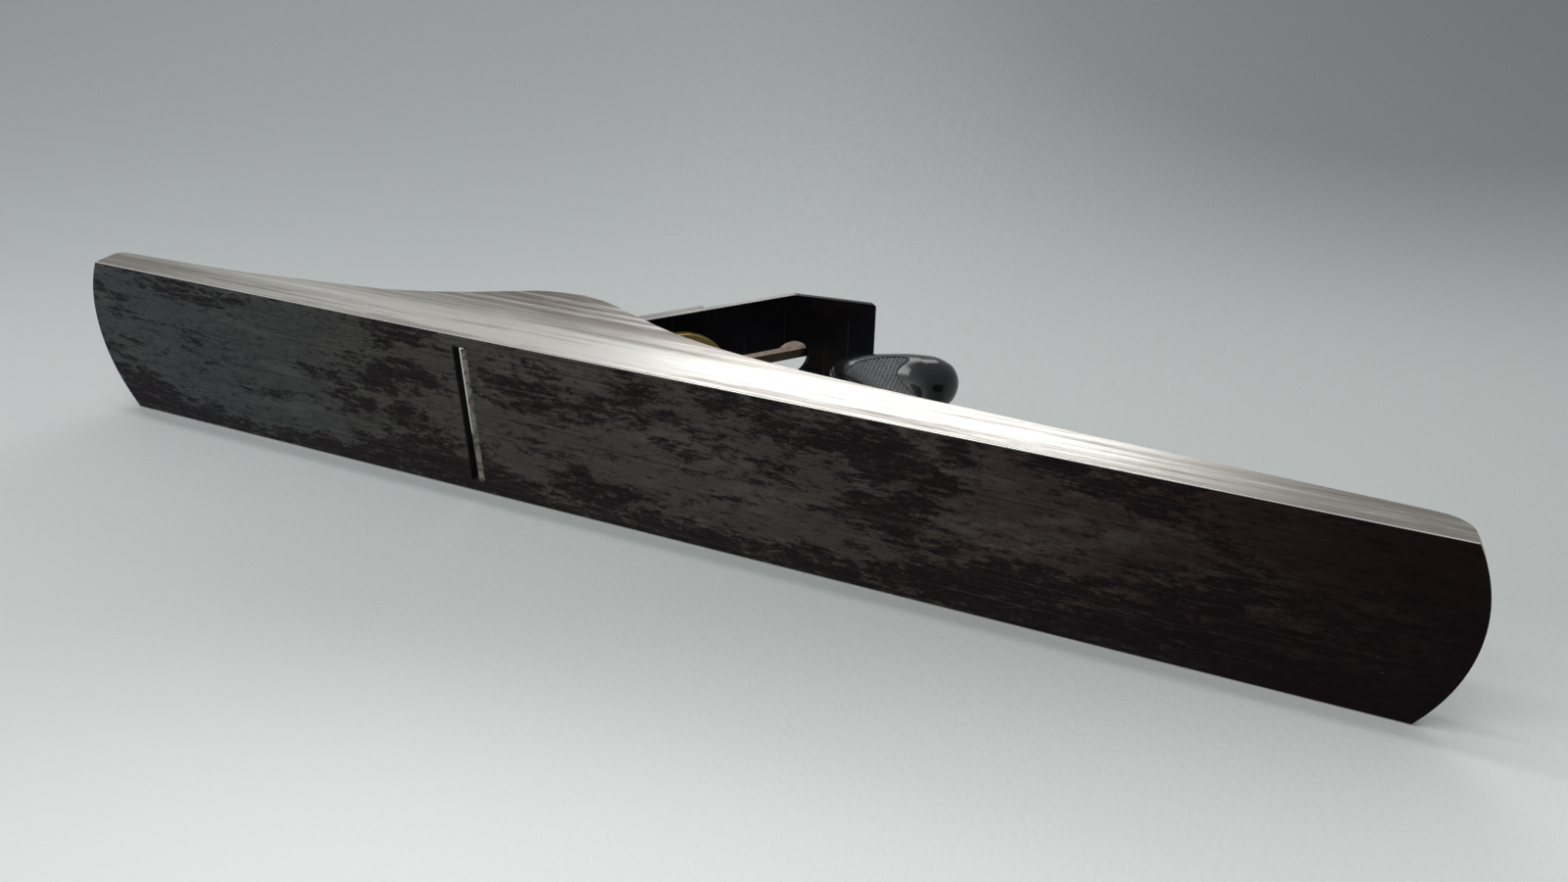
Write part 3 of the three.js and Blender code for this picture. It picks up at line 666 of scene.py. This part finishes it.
class PLANE_OT_body(bpy.types.Operator):
    """Finish the body casting"""

    bl_idname = "plane.body"
    bl_label = "Body casting"

    def execute(self, context):
        s = context.scene.plane_body
        dress("plane_body", worn_body(s), s.edge_round)
        return {"FINISHED"}


class PLANE_OT_frog(bpy.types.Operator):
    """Finish the frog that the iron is bedded on"""

    bl_idname = "plane.frog"
    bl_label = "Frog"

    def execute(self, context):
        s = context.scene.plane_body
        dress("frog", japanned(s), 0.35 * MM)
        return {"FINISHED"}


class PLANE_OT_irons(bpy.types.Operator):
    """Finish the cutting iron and the cap iron"""

    bl_idname = "plane.irons"
    bl_label = "Cutting irons"

    def execute(self, context):
        steel = patinated_iron(context.scene.plane_body)
        dress("plane_iron", steel, 0.22 * MM)
        dress("cap_iron", steel, 0.2 * MM)
        return {"FINISHED"}


class PLANE_OT_cap(bpy.types.Operator):
    """Finish the lever cap and its locking lever"""

    bl_idname = "plane.cap"
    bl_label = "Lever cap"

    def execute(self, context):
        s = context.scene.plane_adjuster
        dress("lever_cap", plain_metal("dull_plated_iron", s.cap, CAP_DIRT), 0.5 * MM)
        dress("cam_lever", plain_metal("aged_bronze", s.bronze, BRONZE_TARNISH), 0.45 * MM)
        return {"FINISHED"}


class PLANE_OT_adjuster(bpy.types.Operator):
    """Make the serrated wheel and the threaded screw, and finish the nut, lever, pins and rods"""

    bl_idname = "plane.adjuster"
    bl_label = "Depth adjuster"

    def execute(self, context):
        s = context.scene.plane_adjuster
        axle = next(j for j in frame["joints"] if j["name"] == "wheel_turn")
        centre = BED.inverted() @ Vector(axle["pos_m"])
        place = BED @ Matrix.Translation((centre.x, 0, 0))
        brass = plain_metal("aged_brass", s.brass, s.brass_old, (0.3, 0.5), 420)
        rim, low, high = 23.4 * MM, -6.5 * MM, -3.5 * MM
        hub, hub_low = 9 * MM, -7.2 * MM
        eye, bore = 3.4 * MM, 3.3 * MM
        teeth, depth = s.wheel_teeth, s.tooth_depth
        profile = [(eye, hub_low), (8.6 * MM, hub_low), (hub, hub_low + 0.4 * MM), (hub, low + 0.5 * MM),
                   (hub + 0.5 * MM, low + 0.35 * MM), (13 * MM, low + 0.4 * MM), (13.3 * MM, low + 0.15 * MM),
                   (14.2 * MM, low + 0.15 * MM), (14.5 * MM, low + 0.55 * MM), (17.2 * MM, low + 0.7 * MM),
                   (18.6 * MM, low + 0.2 * MM), (19.4 * MM, low), (rim - 0.5 * MM, low),
                   (rim, low + 0.45 * MM), (rim, high - 0.45 * MM), (rim - 0.5 * MM, high),
                   (19 * MM, high), (18.6 * MM, high - 0.25 * MM), (7 * MM, high - 0.25 * MM),
                   (6.6 * MM, high), (eye, high)]

        def serrated(r, height, angle):
            if r < rim - 0.1 * MM:
                return r
            phase = (angle * teeth / (2 * math.pi)) % 1
            return r - depth * abs(2 * phase - 1)

        wheel = turned("depth_wheel_disc", profile, teeth * 4, place, serrated)
        cut_away(wheel, [drill(bore, low - 5 * MM, high + 5 * MM, place, 40)])
        round_edges(wheel, 0.08 * MM, 1, 50)
        settle(wheel, "depth_wheel", ["adjusting_wheel"], brass)

        steel = plain_metal("turned_steel", s.steel, STEEL_RUST)
        pitch, thread = s.thread_pitch, 0.38 * MM
        start, stop, taper = -26.9 * MM, -3.75 * MM, 1.2 * MM
        plain_low, plain_high = -8.5 * MM, -2 * MM
        rows_per_turn = 8
        steps = int((stop - start) / (pitch / rows_per_turn))

        def threaded(r, height, angle):
            lead_in = min(1.0, (height - start) / taper, (stop - height) / taper)
            plain = plain_low < height < plain_high
            phase = (height / pitch - angle / (2 * math.pi)) % 1
            cut = thread * abs(2 * phase - 1)
            return r - (0.05 * MM if plain else cut) - (1 - max(0, lead_in)) * 0.5 * MM

        rows = [(3 * MM, start + (stop - start) * i / steps) for i in range(steps + 1)]
        screw = turned("depth_screw_thread", rows, 36, place, threaded)
        shade_flat_faces(screw)
        settle(screw, "depth_wheel", ["adjusting_screw"], steel)

        dress("travelling_nut", brass, 0.25 * MM)
        dress("adjusting_lever", steel, 0.25 * MM)
        for node in ("screw_collar", "lever_pin", "cam_pin", "cap_spring", "spring_rivet", "tote_rod",
                     "knob_rod"):
            dress(node, steel, 0.15 * MM)
        return {"FINISHED"}


class PLANE_OT_fastenings(bpy.types.Operator):
    """Make the screws, washers and nuts"""

    bl_idname = "plane.fastenings"
    bl_label = "Fastenings"

    def execute(self, context):
        s = context.scene.plane_adjuster
        bright = [c * 1.25 for c in s.steel]
        steel = plain_metal("worn_screw_steel", bright, SCREW_RUST, (0.26, 0.44))
        brass = plain_metal("worn_nut_brass", s.brass, s.brass_old, (0.26, 0.42), 700)
        for side, turn in (("left", 0.5), ("right", 2.1)):
            node = f"frog_screw_{side}"
            low, high, middle = box_and_middle(node)
            place = Matrix.Translation((middle.x, middle.y, 0))
            head = dome(3.9 * MM, high.z - 3.4 * MM, high.z, 0.45)
            screw = slotted_screw(f"{node}_head", head, place, (2.4 * MM, low.z), slot_turn=turn)
            settle(screw, "root", [node], steel)
            dress(f"frog_washer_{side}", steel, 0.15 * MM)

        low, high, middle = box_and_middle("tote_toe_screw")
        head = dome(4.2 * MM, high.z - 3 * MM, high.z, 0.4)
        screw = slotted_screw("grip_toe_screw", head, Matrix.Translation((middle.x, 0, 0)), (2.4 * MM, low.z),
                              slot_turn=0.9)
        settle(screw, "root", ["tote_toe_screw"], steel)

        low, high, middle = box_and_middle("knob_nut")
        head = dome(5.6 * MM, low.z, high.z, 0.35)
        nut = slotted_screw("knob_top_nut", head, Matrix.Translation((middle.x, 0, 0)),
                            slot_width=1.1 * MM, slot_turn=1.2)
        settle(nut, "root", ["knob_nut"], brass)

        along_bed = BED @ Matrix.Translation((FULCRUM_UP_BED, 0, 0))
        head = dome(5.6 * MM, 13.4 * MM, 17.4 * MM, 0.45)
        screw = slotted_screw("cap_holding_screw", head, along_bed, (3 * MM, -14.9 * MM), slot_width=1.2 * MM,
                              slot_turn=0.35)
        settle(screw, body_of("fulcrum_screw"), ["fulcrum_screw"], steel)

        under = BED @ Matrix.Translation((CLAMP_UP_BED, 0, 0)) @ Matrix.Rotation(math.pi, 4, "X")
        head = [(5.2 * MM, 2.85 * MM), (5.5 * MM, 3.1 * MM), (5.5 * MM, 5.3 * MM), (5.1 * MM, 5.75 * MM),
                (0.2 * MM, 5.8 * MM)]
        screw = slotted_screw("cap_iron_clamp_screw", head, under, (3 * MM, -2.9 * MM), slot_width=1.2 * MM)
        settle(screw, body_of("cap_iron_screw"), ["cap_iron_screw"], steel)

        head = dome(5.8 * MM, -3.3 * MM, -0.8 * MM, 0.4)
        nut = slotted_screw("grip_nut", head, grip_rod_place(), (3.9 * MM, -15.9 * MM), slot_width=1.1 * MM,
                            slot_depth=1.1 * MM, slot_turn=0.8, bore=(2.9 * MM, -30 * MM, -5 * MM))
        settle(nut, "root", ["tote_nut"], brass)
        return {"FINISHED"}


# The grip, as distances back from its toe and up from its foot, in millimetres: the front line goes
# up the finger curve and over the horn, and the rear line goes up the heel and under the horn.
GRIP_FRONT = [(0, 0), (0.4, 3.7), (8, 8.7), (24, 11.6), (42, 14.9), (55.5, 22.3), (64.5, 31.5), (67.6, 42.2),
              (64.8, 51.7), (57, 60.3), (48.2, 69.7), (44.6, 77.2), (47.2, 84.7), (56, 89.9), (70, 96.3),
              (83, 100.2), (92.4, 98.2), (96.3, 94.0), (96.9, 90.3)]
GRIP_REAR = [(134, 0), (132.5, 3.7), (125, 10.2), (119, 15.2), (114, 22.7), (109.3, 30.3), (104.6, 39.1),
             (99.2, 49.1), (93.6, 57.5), (89.2, 64.3), (86.8, 69.3), (86.4, 72.7), (87, 75.5), (88, 77.7),
             (89.6, 79.3), (91.4, 80.5), (93.2, 81.9), (94.7, 84.1), (96.2, 87.3)]
# share of the half thickness at each of those places
GRIP_THICKNESS = [1, 1, 0.98, 0.95, 0.93, 0.92, 0.92, 0.92, 0.92, 0.92, 0.92, 0.93, 0.94, 0.95, 0.95, 0.89,
                  0.73, 0.47, 0.16]
# and how square the section is there: 2 is an oval
GRIP_SQUARENESS = [5, 4.2, 3.4, 3.2, 3.1, 3, 3, 3, 3, 3, 3, 2.9, 2.7, 2.4, 2.2, 2.05, 2, 2, 2]
# corners of the checkered panel
CHECKERED = [(54.7, 66.6), (55.8, 70.9), (58.2, 75.4), (64.4, 80.7), (71.1, 84.4), (76.6, 84.9), (75.4, 79.2),
             (74.9, 73.9), (77, 69.1), (81.1, 64.2), (86.2, 59.8), (91.4, 54.6), (95.5, 47.5), (98.6, 39.7),
             (96, 31.5), (86, 25.4), (76.5, 28.4), (71.6, 36.4), (72, 44.7), (69.2, 52.2), (65.0, 58.9),
             (59.6, 63.2)]


def inside_outline(x, z, outline):
    """Which of the places lie inside the closed outline."""
    found = np.zeros(x.shape, bool)
    for (x0, z0), (x1, z1) in zip(outline, np.roll(outline, -1, axis=0)):
        crosses = (z0 > z) != (z1 > z)
        rise = z1 - z0 if z1 != z0 else 1e-9
        found ^= crosses & (x < (x1 - x0) * (z - z0) / rise + x0)
    return found


class PLANE_OT_grip(bpy.types.Operator):
    """Make the moulded grip with its checkered sides"""

    bl_idname = "plane.grip"
    bl_label = "Grip"

    def execute(self, context):
        s = context.scene.plane_grip
        low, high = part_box("tote")
        rubber = hard_rubber("moulded_hard_rubber", s.rubber, 0.09, 0.42)
        # checkering finish: lighter grey rubber, partly rubbed wear, partly painted sheen for the diamonds'
        # highlights
        rubbed_and_painted_sheen = hard_rubber("checkered_hard_rubber", s.rubbed_and_painted_sheen, 0.24, 0.36)

        def placed(points):
            line = np.array(points, float) * MM
            return np.column_stack([high.x - line[:, 0], low.z + line[:, 1]])

        front, rear = flowing(placed(GRIP_FRONT), 9), flowing(placed(GRIP_REAR), 9)
        stations = np.linspace(0, 1, len(front))
        knots = np.linspace(0, 1, len(GRIP_THICKNESS))
        half = np.interp(stations, knots, GRIP_THICKNESS) * s.half_thickness
        square = np.interp(stations, knots, GRIP_SQUARENESS)
        around = 96
        turn = np.linspace(0, 2 * np.pi, around, endpoint=False)
        points = []
        for f, r, thick, n in zip(front, rear, half, square):
            reach = np.sign(np.cos(turn)) * np.abs(np.cos(turn)) ** (2 / n)
            out = np.sign(np.sin(turn)) * np.abs(np.sin(turn)) ** (2 / n) * thick
            middle, arm = (f + r) / 2, (f - r) / 2
            line = middle + reach[:, None] * arm
            points += [(x, y, z) for (x, z), y in zip(line, out)]
        grip = new_piece("grip", points, tube_faces(len(front), around))
        edit_mesh(grip, face_outward)
        skin = BVHTree.FromPolygons([v.co[:] for v in grip.data.vertices],
                                    [p.vertices[:] for p in grip.data.polygons])

        rod = grip_rod_place()
        toe = Matrix.Translation((box_and_middle("tote_toe_screw")[2].x, 0, 0))
        cut_away(grip, [
            drill(6.2 * MM, -3.6 * MM, 14 * MM, rod, 48),
            drill(4.3 * MM, -18 * MM, -3 * MM, rod, 40),
            drill(3.1 * MM, -120 * MM, -17 * MM, rod),
            drill(2.7 * MM, 0, 16 * MM, toe),
            drill(4.7 * MM, 14.4 * MM, 30 * MM, toe, 40),
        ])
        round_edges(grip, 0.3 * MM, 2, 45)
        settle(grip, "root", ["tote"], rubber)

        border = placed(CHECKERED)
        smooth_border = flowing(np.vstack([border, border[:1]]), 6)[:-1]
        for side, sign in (("left", 1), ("right", -1)):
            panel = self.checkering(f"grip_checkering_{side}", smooth_border, skin, sign, s)
            rim = self.border_bead(f"grip_border_{side}", smooth_border, skin, sign)
            for piece, finish in ((panel, rubbed_and_painted_sheen), (rim, rubber)):
                paint(piece, finish)
                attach(piece, "root")
        return {"FINISHED"}

    def skin_at(self, skin, x, z, sign):
        """How far out the grip's side is at a place, coming in from well outside it."""
        hit = skin.ray_cast(Vector((x, sign * 0.05, z)), Vector((0, -sign, 0)))[0]
        if hit is None:
            raise RuntimeError("the checkered panel runs off the grip")
        return hit.y

    def checkering(self, name, border, skin, sign, s):
        """Small pyramids between two crossing families of grooves, laid out along the grooves."""
        per_groove, half_span = 4, 0.06
        lean = [math.radians(a) for a in (24, 84)]
        first, second = [np.array([math.cos(a), math.sin(a)]) for a in lean]
        step = s.diamond_pitch / per_groove / abs(math.sin(lean[1] - lean[0]))
        middle = border.mean(axis=0)
        reach = int(half_span / step)
        i, j = np.meshgrid(np.arange(-reach, reach), np.arange(-reach, reach), indexing="ij")
        x = middle[0] + (i * first[0] + j * second[0]) * step
        z = middle[1] + (i * first[1] + j * second[1]) * step
        held = inside_outline(x, z, border)
        rise_i = np.minimum(i % per_groove, -i % per_groove) / (per_groove / 2)
        rise_j = np.minimum(j % per_groove, -j % per_groove) / (per_groove / 2)
        rise = np.minimum(rise_i, rise_j) * s.diamond_height + 0.03 * MM
        number, points = {}, []
        for a, b in zip(*np.nonzero(held)):
            number[a, b] = len(points)
            y = self.skin_at(skin, x[a, b], z[a, b], sign)
            points.append((x[a, b], y + sign * rise[a, b], z[a, b]))
        faces = []
        for a, b in number:
            corners = [(a, b), (a + 1, b), (a + 1, b + 1), (a, b + 1)]
            if all(c in number for c in corners):
                loop = [number[c] for c in corners]
                faces.append(loop[::-1] if sign > 0 else loop)
        panel = new_piece(name, points, faces)
        edit_mesh(panel, drop_loose_points)
        back = panel.modifiers.new("backing", "SOLIDIFY")
        back.thickness = 0.5 * MM
        back.offset = -1
        return panel

    def border_bead(self, name, border, skin, sign):
        """A thin raised line round the checkered panel."""
        around, radius, proud = 8, 0.34 * MM, 0.08 * MM
        count = len(border)
        centre = [Vector((x, self.skin_at(skin, x, z, sign) + sign * proud, z)) for x, z in border]
        points = []
        for i in range(count):
            ahead = (centre[(i + 1) % count] - centre[i - 1]).normalized()
            out = Vector((0, sign, 0))
            across = ahead.cross(out).normalized()
            for k in range(around):
                angle = 2 * math.pi * k / around
                points.append(centre[i] + (across * math.cos(angle) + out * math.sin(angle)) * radius)
        faces = []
        for i in range(count):
            n = (i + 1) % count
            for k in range(around):
                m = (k + 1) % around
                faces.append((i * around + k, i * around + m, n * around + m, n * around + k))
        bead = new_piece(name, points, faces)
        edit_mesh(bead, face_outward)
        shade_smooth(bead)
        return bead


class PLANE_OT_knob(bpy.types.Operator):
    """Make the turned front knob"""

    bl_idname = "plane.knob"
    bl_label = "Front knob"

    def execute(self, context):
        low, high, middle = box_and_middle("front_knob")
        place = Matrix.Translation((middle.x, 0, 0))
        side = [(17, 0.05), (17.6, 2.4), (14, 6), (10.4, 12), (10.2, 18), (13.6, 25), (17.2, 30.5),
                (17.4, 36), (14.2, 40.8), (9.5, 43.5), (7.0, 43.7)]
        profile = [(r, z + low.z) for r, z in flowing(np.array(side) * MM, 7)]
        profile = [(16.6 * MM, low.z), *profile, (6.1 * MM, high.z - 0.4 * MM), (6 * MM, high.z - 2.7 * MM),
                   (3 * MM, high.z - 2.8 * MM)]
        knob = turned("turned_front_knob", profile, 96, place)
        cut_away(knob, [drill(2.9 * MM, low.z - MM, high.z, place)])
        shade_smooth(knob)
        settle(knob, "root", ["front_knob"], bpy.data.materials["moulded_hard_rubber"])
        return {"FINISHED"}


# ---------------- stage


def one_sided(name, s, away=None, across=None):
    """A pale floor finish that only shows from its front. On the sweep, painted shade makes it darker further away
    and painted light makes it brighter in front.
    """
    f = Finish(name)
    grain = f.noise(560, 2, 0.5)
    cloud = f.noise(2.2, 3, 0.5, 1.0)
    tint = f.mix(f.span(cloud, 0.3, 0.7, 0.0, 0.07), s.floor, s.floor_far)
    if away:
        reach, wide = f.along(away), f.along(across)
        # painted shade: darker further away, and more so far off to one side
        painted_far_shade = f.calc("ADD", f.span(reach, -0.02, 0.58, 0.0, 0.78),
                      f.calc("MULTIPLY", f.span(wide, 0.0, 0.5, 0.0, 0.5), f.span(reach, 0.1, 0.5)))
        tint = f.mix(f.calc("MINIMUM", painted_far_shade, 1.0), tint, s.floor_far)
        # painted light: brighter in front
        lit = f.calc("MULTIPLY", f.span(reach, -0.03, -0.17), f.span(wide, -0.34, -0.04, 0.35, 1.0))
        tint = f.mix(lit, tint, s.floor_near)
    f.set(colour=tint, rough=f.span(grain, 0.3, 0.7, 0.5, 0.7), normal=f.relief(grain, 0.0006, 0.35))
    through = f.tree.nodes.new("ShaderNodeBsdfTransparent")
    which = f.tree.nodes.new("ShaderNodeNewGeometry")
    choose = f.tree.nodes.new("ShaderNodeMixShader")
    f.tree.links.new(which.outputs["Backfacing"], choose.inputs[0])
    f.tree.links.new(f.shader.outputs[0], choose.inputs[1])
    f.tree.links.new(through.outputs[0], choose.inputs[2])
    f.tree.links.new(choose.outputs[0], f.tree.nodes["Material Output"].inputs[0])
    return f.material


class PLANE_OT_stage(bpy.types.Operator):
    """Set up the pale floor, the soft lights and the camera"""

    bl_idname = "plane.stage"
    bl_label = "Stage"

    # the camera's place and axes: the plane lies on its right cheek, so up in the view is its left
    PLACE = Vector((-0.183848, 0.237644, -0.332307))
    RIGHT = Vector((-0.92804, 0.00688, 0.37241))
    UP = Vector((0.19903, 0.85427, 0.48021))
    AHEAD = Vector((0.31484, -0.51978, 0.79417))

    def execute(self, context):
        s = context.scene.plane_stage
        self.set_camera(context.scene, s)
        self.lay_floors(s)
        self.light("softbox", (0.12, 0.58, 0.82), (0.62, 0.27), s.softbox_power)
        for number, z in enumerate((-0.5, -0.2, 0.1)):
            self.light(f"tube_{number}", (0.3, 1.05, z), (1.0, 0.05), s.tube_power)
        self.fill_room(context.scene, s)
        context.scene.view_settings.view_transform = "Standard"
        return {"FINISHED"}

    def set_camera(self, scene, s):
        camera = bpy.data.objects.new("camera", bpy.data.cameras.new("camera"))
        scene.collection.objects.link(camera)
        camera.data.sensor_width = 36
        camera.data.lens = s.focal_length
        turn = Matrix((self.RIGHT, self.UP, -self.AHEAD)).transposed().to_quaternion()
        camera.matrix_world = Matrix.LocRotScale(self.PLACE, turn, None)
        scene.camera = camera

    def lay_floors(self, s):
        """A sweep under the right cheek that curves up behind the plane, and a bench under the sole."""
        low = cad_box[0]
        away = Vector((-self.RIGHT.z, 0, self.RIGHT.x)).normalized()
        if away.dot(self.AHEAD) < 0:
            away.negate()
        across = Vector((self.RIGHT.x, 0, self.RIGHT.z)).normalized()
        sweep_y, bench_z = low.y - 0.0002, low.z - 0.0003
        flat, bend, wall, half_sweep, half_bench = 0.22, 0.5, 2.5, 3.5, 3
        curve = [(flat + bend * math.sin(a), bend * (1 - math.cos(a)))
                 for a in np.radians(np.arange(4, 89, 4))]
        run = [(-3.0, 0.0), (-0.5, 0.0), (0.0, 0.0), (flat, 0.0), *curve, (flat + bend, bend + wall)]
        points = [away * reach + across * wide + Vector((0, sweep_y + rise, 0))
                  for reach, rise in run for wide in (-half_sweep, half_sweep)]
        faces = [(2 * i, 2 * i + 1, 2 * i + 3, 2 * i + 2) for i in range(len(run) - 1)]
        sweep = new_piece("floor_sweep", points, faces)
        corners = [(x * half_bench, y * half_bench, bench_z) for x, y in ((-1, -1), (1, -1), (1, 1), (-1, 1))]
        bench = new_piece("bench_floor", corners, [(0, 1, 2, 3)])
        finishes = one_sided("pale_sweep", s, away, across), one_sided("pale_bench", s)
        for floor, front, pale in zip((sweep, bench), (Vector((0, 1, 0)), Vector((0, 0, 1))), finishes):
            if floor.data.polygons[0].normal.dot(front) < 0:
                floor.data.flip_normals()
            for face in floor.data.polygons:
                face.use_smooth = True
            paint(floor, pale)
            floor.visible_diffuse = floor.visible_glossy = False
            floor.visible_transmission = floor.visible_shadow = False

    def light(self, name, place, size, power):
        """A soft rectangle of light turned to the plane."""
        data = bpy.data.lights.new(name, "AREA")
        data.shape = "RECTANGLE"
        data.size, data.size_y = size
        data.energy = power
        lamp = bpy.data.objects.new(name, data)
        bpy.context.scene.collection.objects.link(lamp)
        lamp.location = place
        lamp.rotation_euler = (-Vector(place)).to_track_quat("-Z", "Y").to_euler()

    def fill_room(self, scene, s):
        """Light from the whole room, stronger on the softbox's side."""
        world = bpy.data.worlds.new("room")
        scene.world = world
        world.use_nodes = True
        tree = world.node_tree
        room = tree.nodes["Background"]
        heading = tree.nodes.new("ShaderNodeTexCoord").outputs["Generated"]
        toward = tree.nodes.new("ShaderNodeVectorMath")
        toward.operation = "DOT_PRODUCT"
        toward.inputs[1].default_value = Vector((0.1, 0.6, 0.8)).normalized()
        shade = tree.nodes.new("ShaderNodeMapRange")
        for socket, value in zip(shade.inputs[1:], (-1.0, 1.0, 0.6, 1.2)):
            socket.default_value = value
        tree.links.new(heading, toward.inputs[0])
        tree.links.new(toward.outputs["Value"], shade.inputs[0])
        strength = tree.nodes.new("ShaderNodeMath")
        strength.operation = "MULTIPLY"
        strength.inputs[1].default_value = s.sky
        tree.links.new(shade.outputs[0], strength.inputs[0])
        tree.links.new(strength.outputs[0], room.inputs["Strength"])
        room.inputs["Color"].default_value = ROOM_TINT


class PLANE_PT_panel(bpy.types.Panel):
    """Everything that makes up the plane"""

    bl_idname = "PLANE_PT_panel"
    bl_label = "Jointer plane"
    bl_space_type = "VIEW_3D"
    bl_region_type = "UI"
    bl_category = "Plane"

    def draw(self, context):
        for name in SETTINGS:
            group = getattr(context.scene, name)
            box = self.layout.box()
            box.label(text=group.__doc__ or name)
            for prop in group.__annotations__:
                box.prop(group, prop)
        for operator in OPERATORS:
            self.layout.operator(operator.bl_idname)


SETTINGS = {"plane_body": BodySettings, "plane_grip": GripSettings, "plane_adjuster": AdjusterSettings,
            "plane_stage": StageSettings}
OPERATORS = [PLANE_OT_stage, PLANE_OT_body, PLANE_OT_frog, PLANE_OT_irons, PLANE_OT_cap, PLANE_OT_adjuster,
             PLANE_OT_fastenings, PLANE_OT_grip, PLANE_OT_knob]


def register():
    for cls in (*SETTINGS.values(), *OPERATORS, PLANE_PT_panel):
        bpy.utils.register_class(cls)
    for name, group in SETTINGS.items():
        setattr(bpy.types.Scene, name, PointerProperty(type=group))


def unregister():
    for name in SETTINGS:
        delattr(bpy.types.Scene, name)
    for cls in (PLANE_PT_panel, *reversed(OPERATORS), *reversed(SETTINGS.values())):
        bpy.utils.unregister_class(cls)


def main():
    register()
    bpy.ops.plane.stage()
    bpy.ops.plane.body()
    bpy.ops.plane.frog()
    bpy.ops.plane.irons()
    bpy.ops.plane.cap()
    bpy.ops.plane.adjuster()
    bpy.ops.plane.fastenings()
    bpy.ops.plane.grip()
    bpy.ops.plane.knob()


if __name__ == "__main__":
    main()
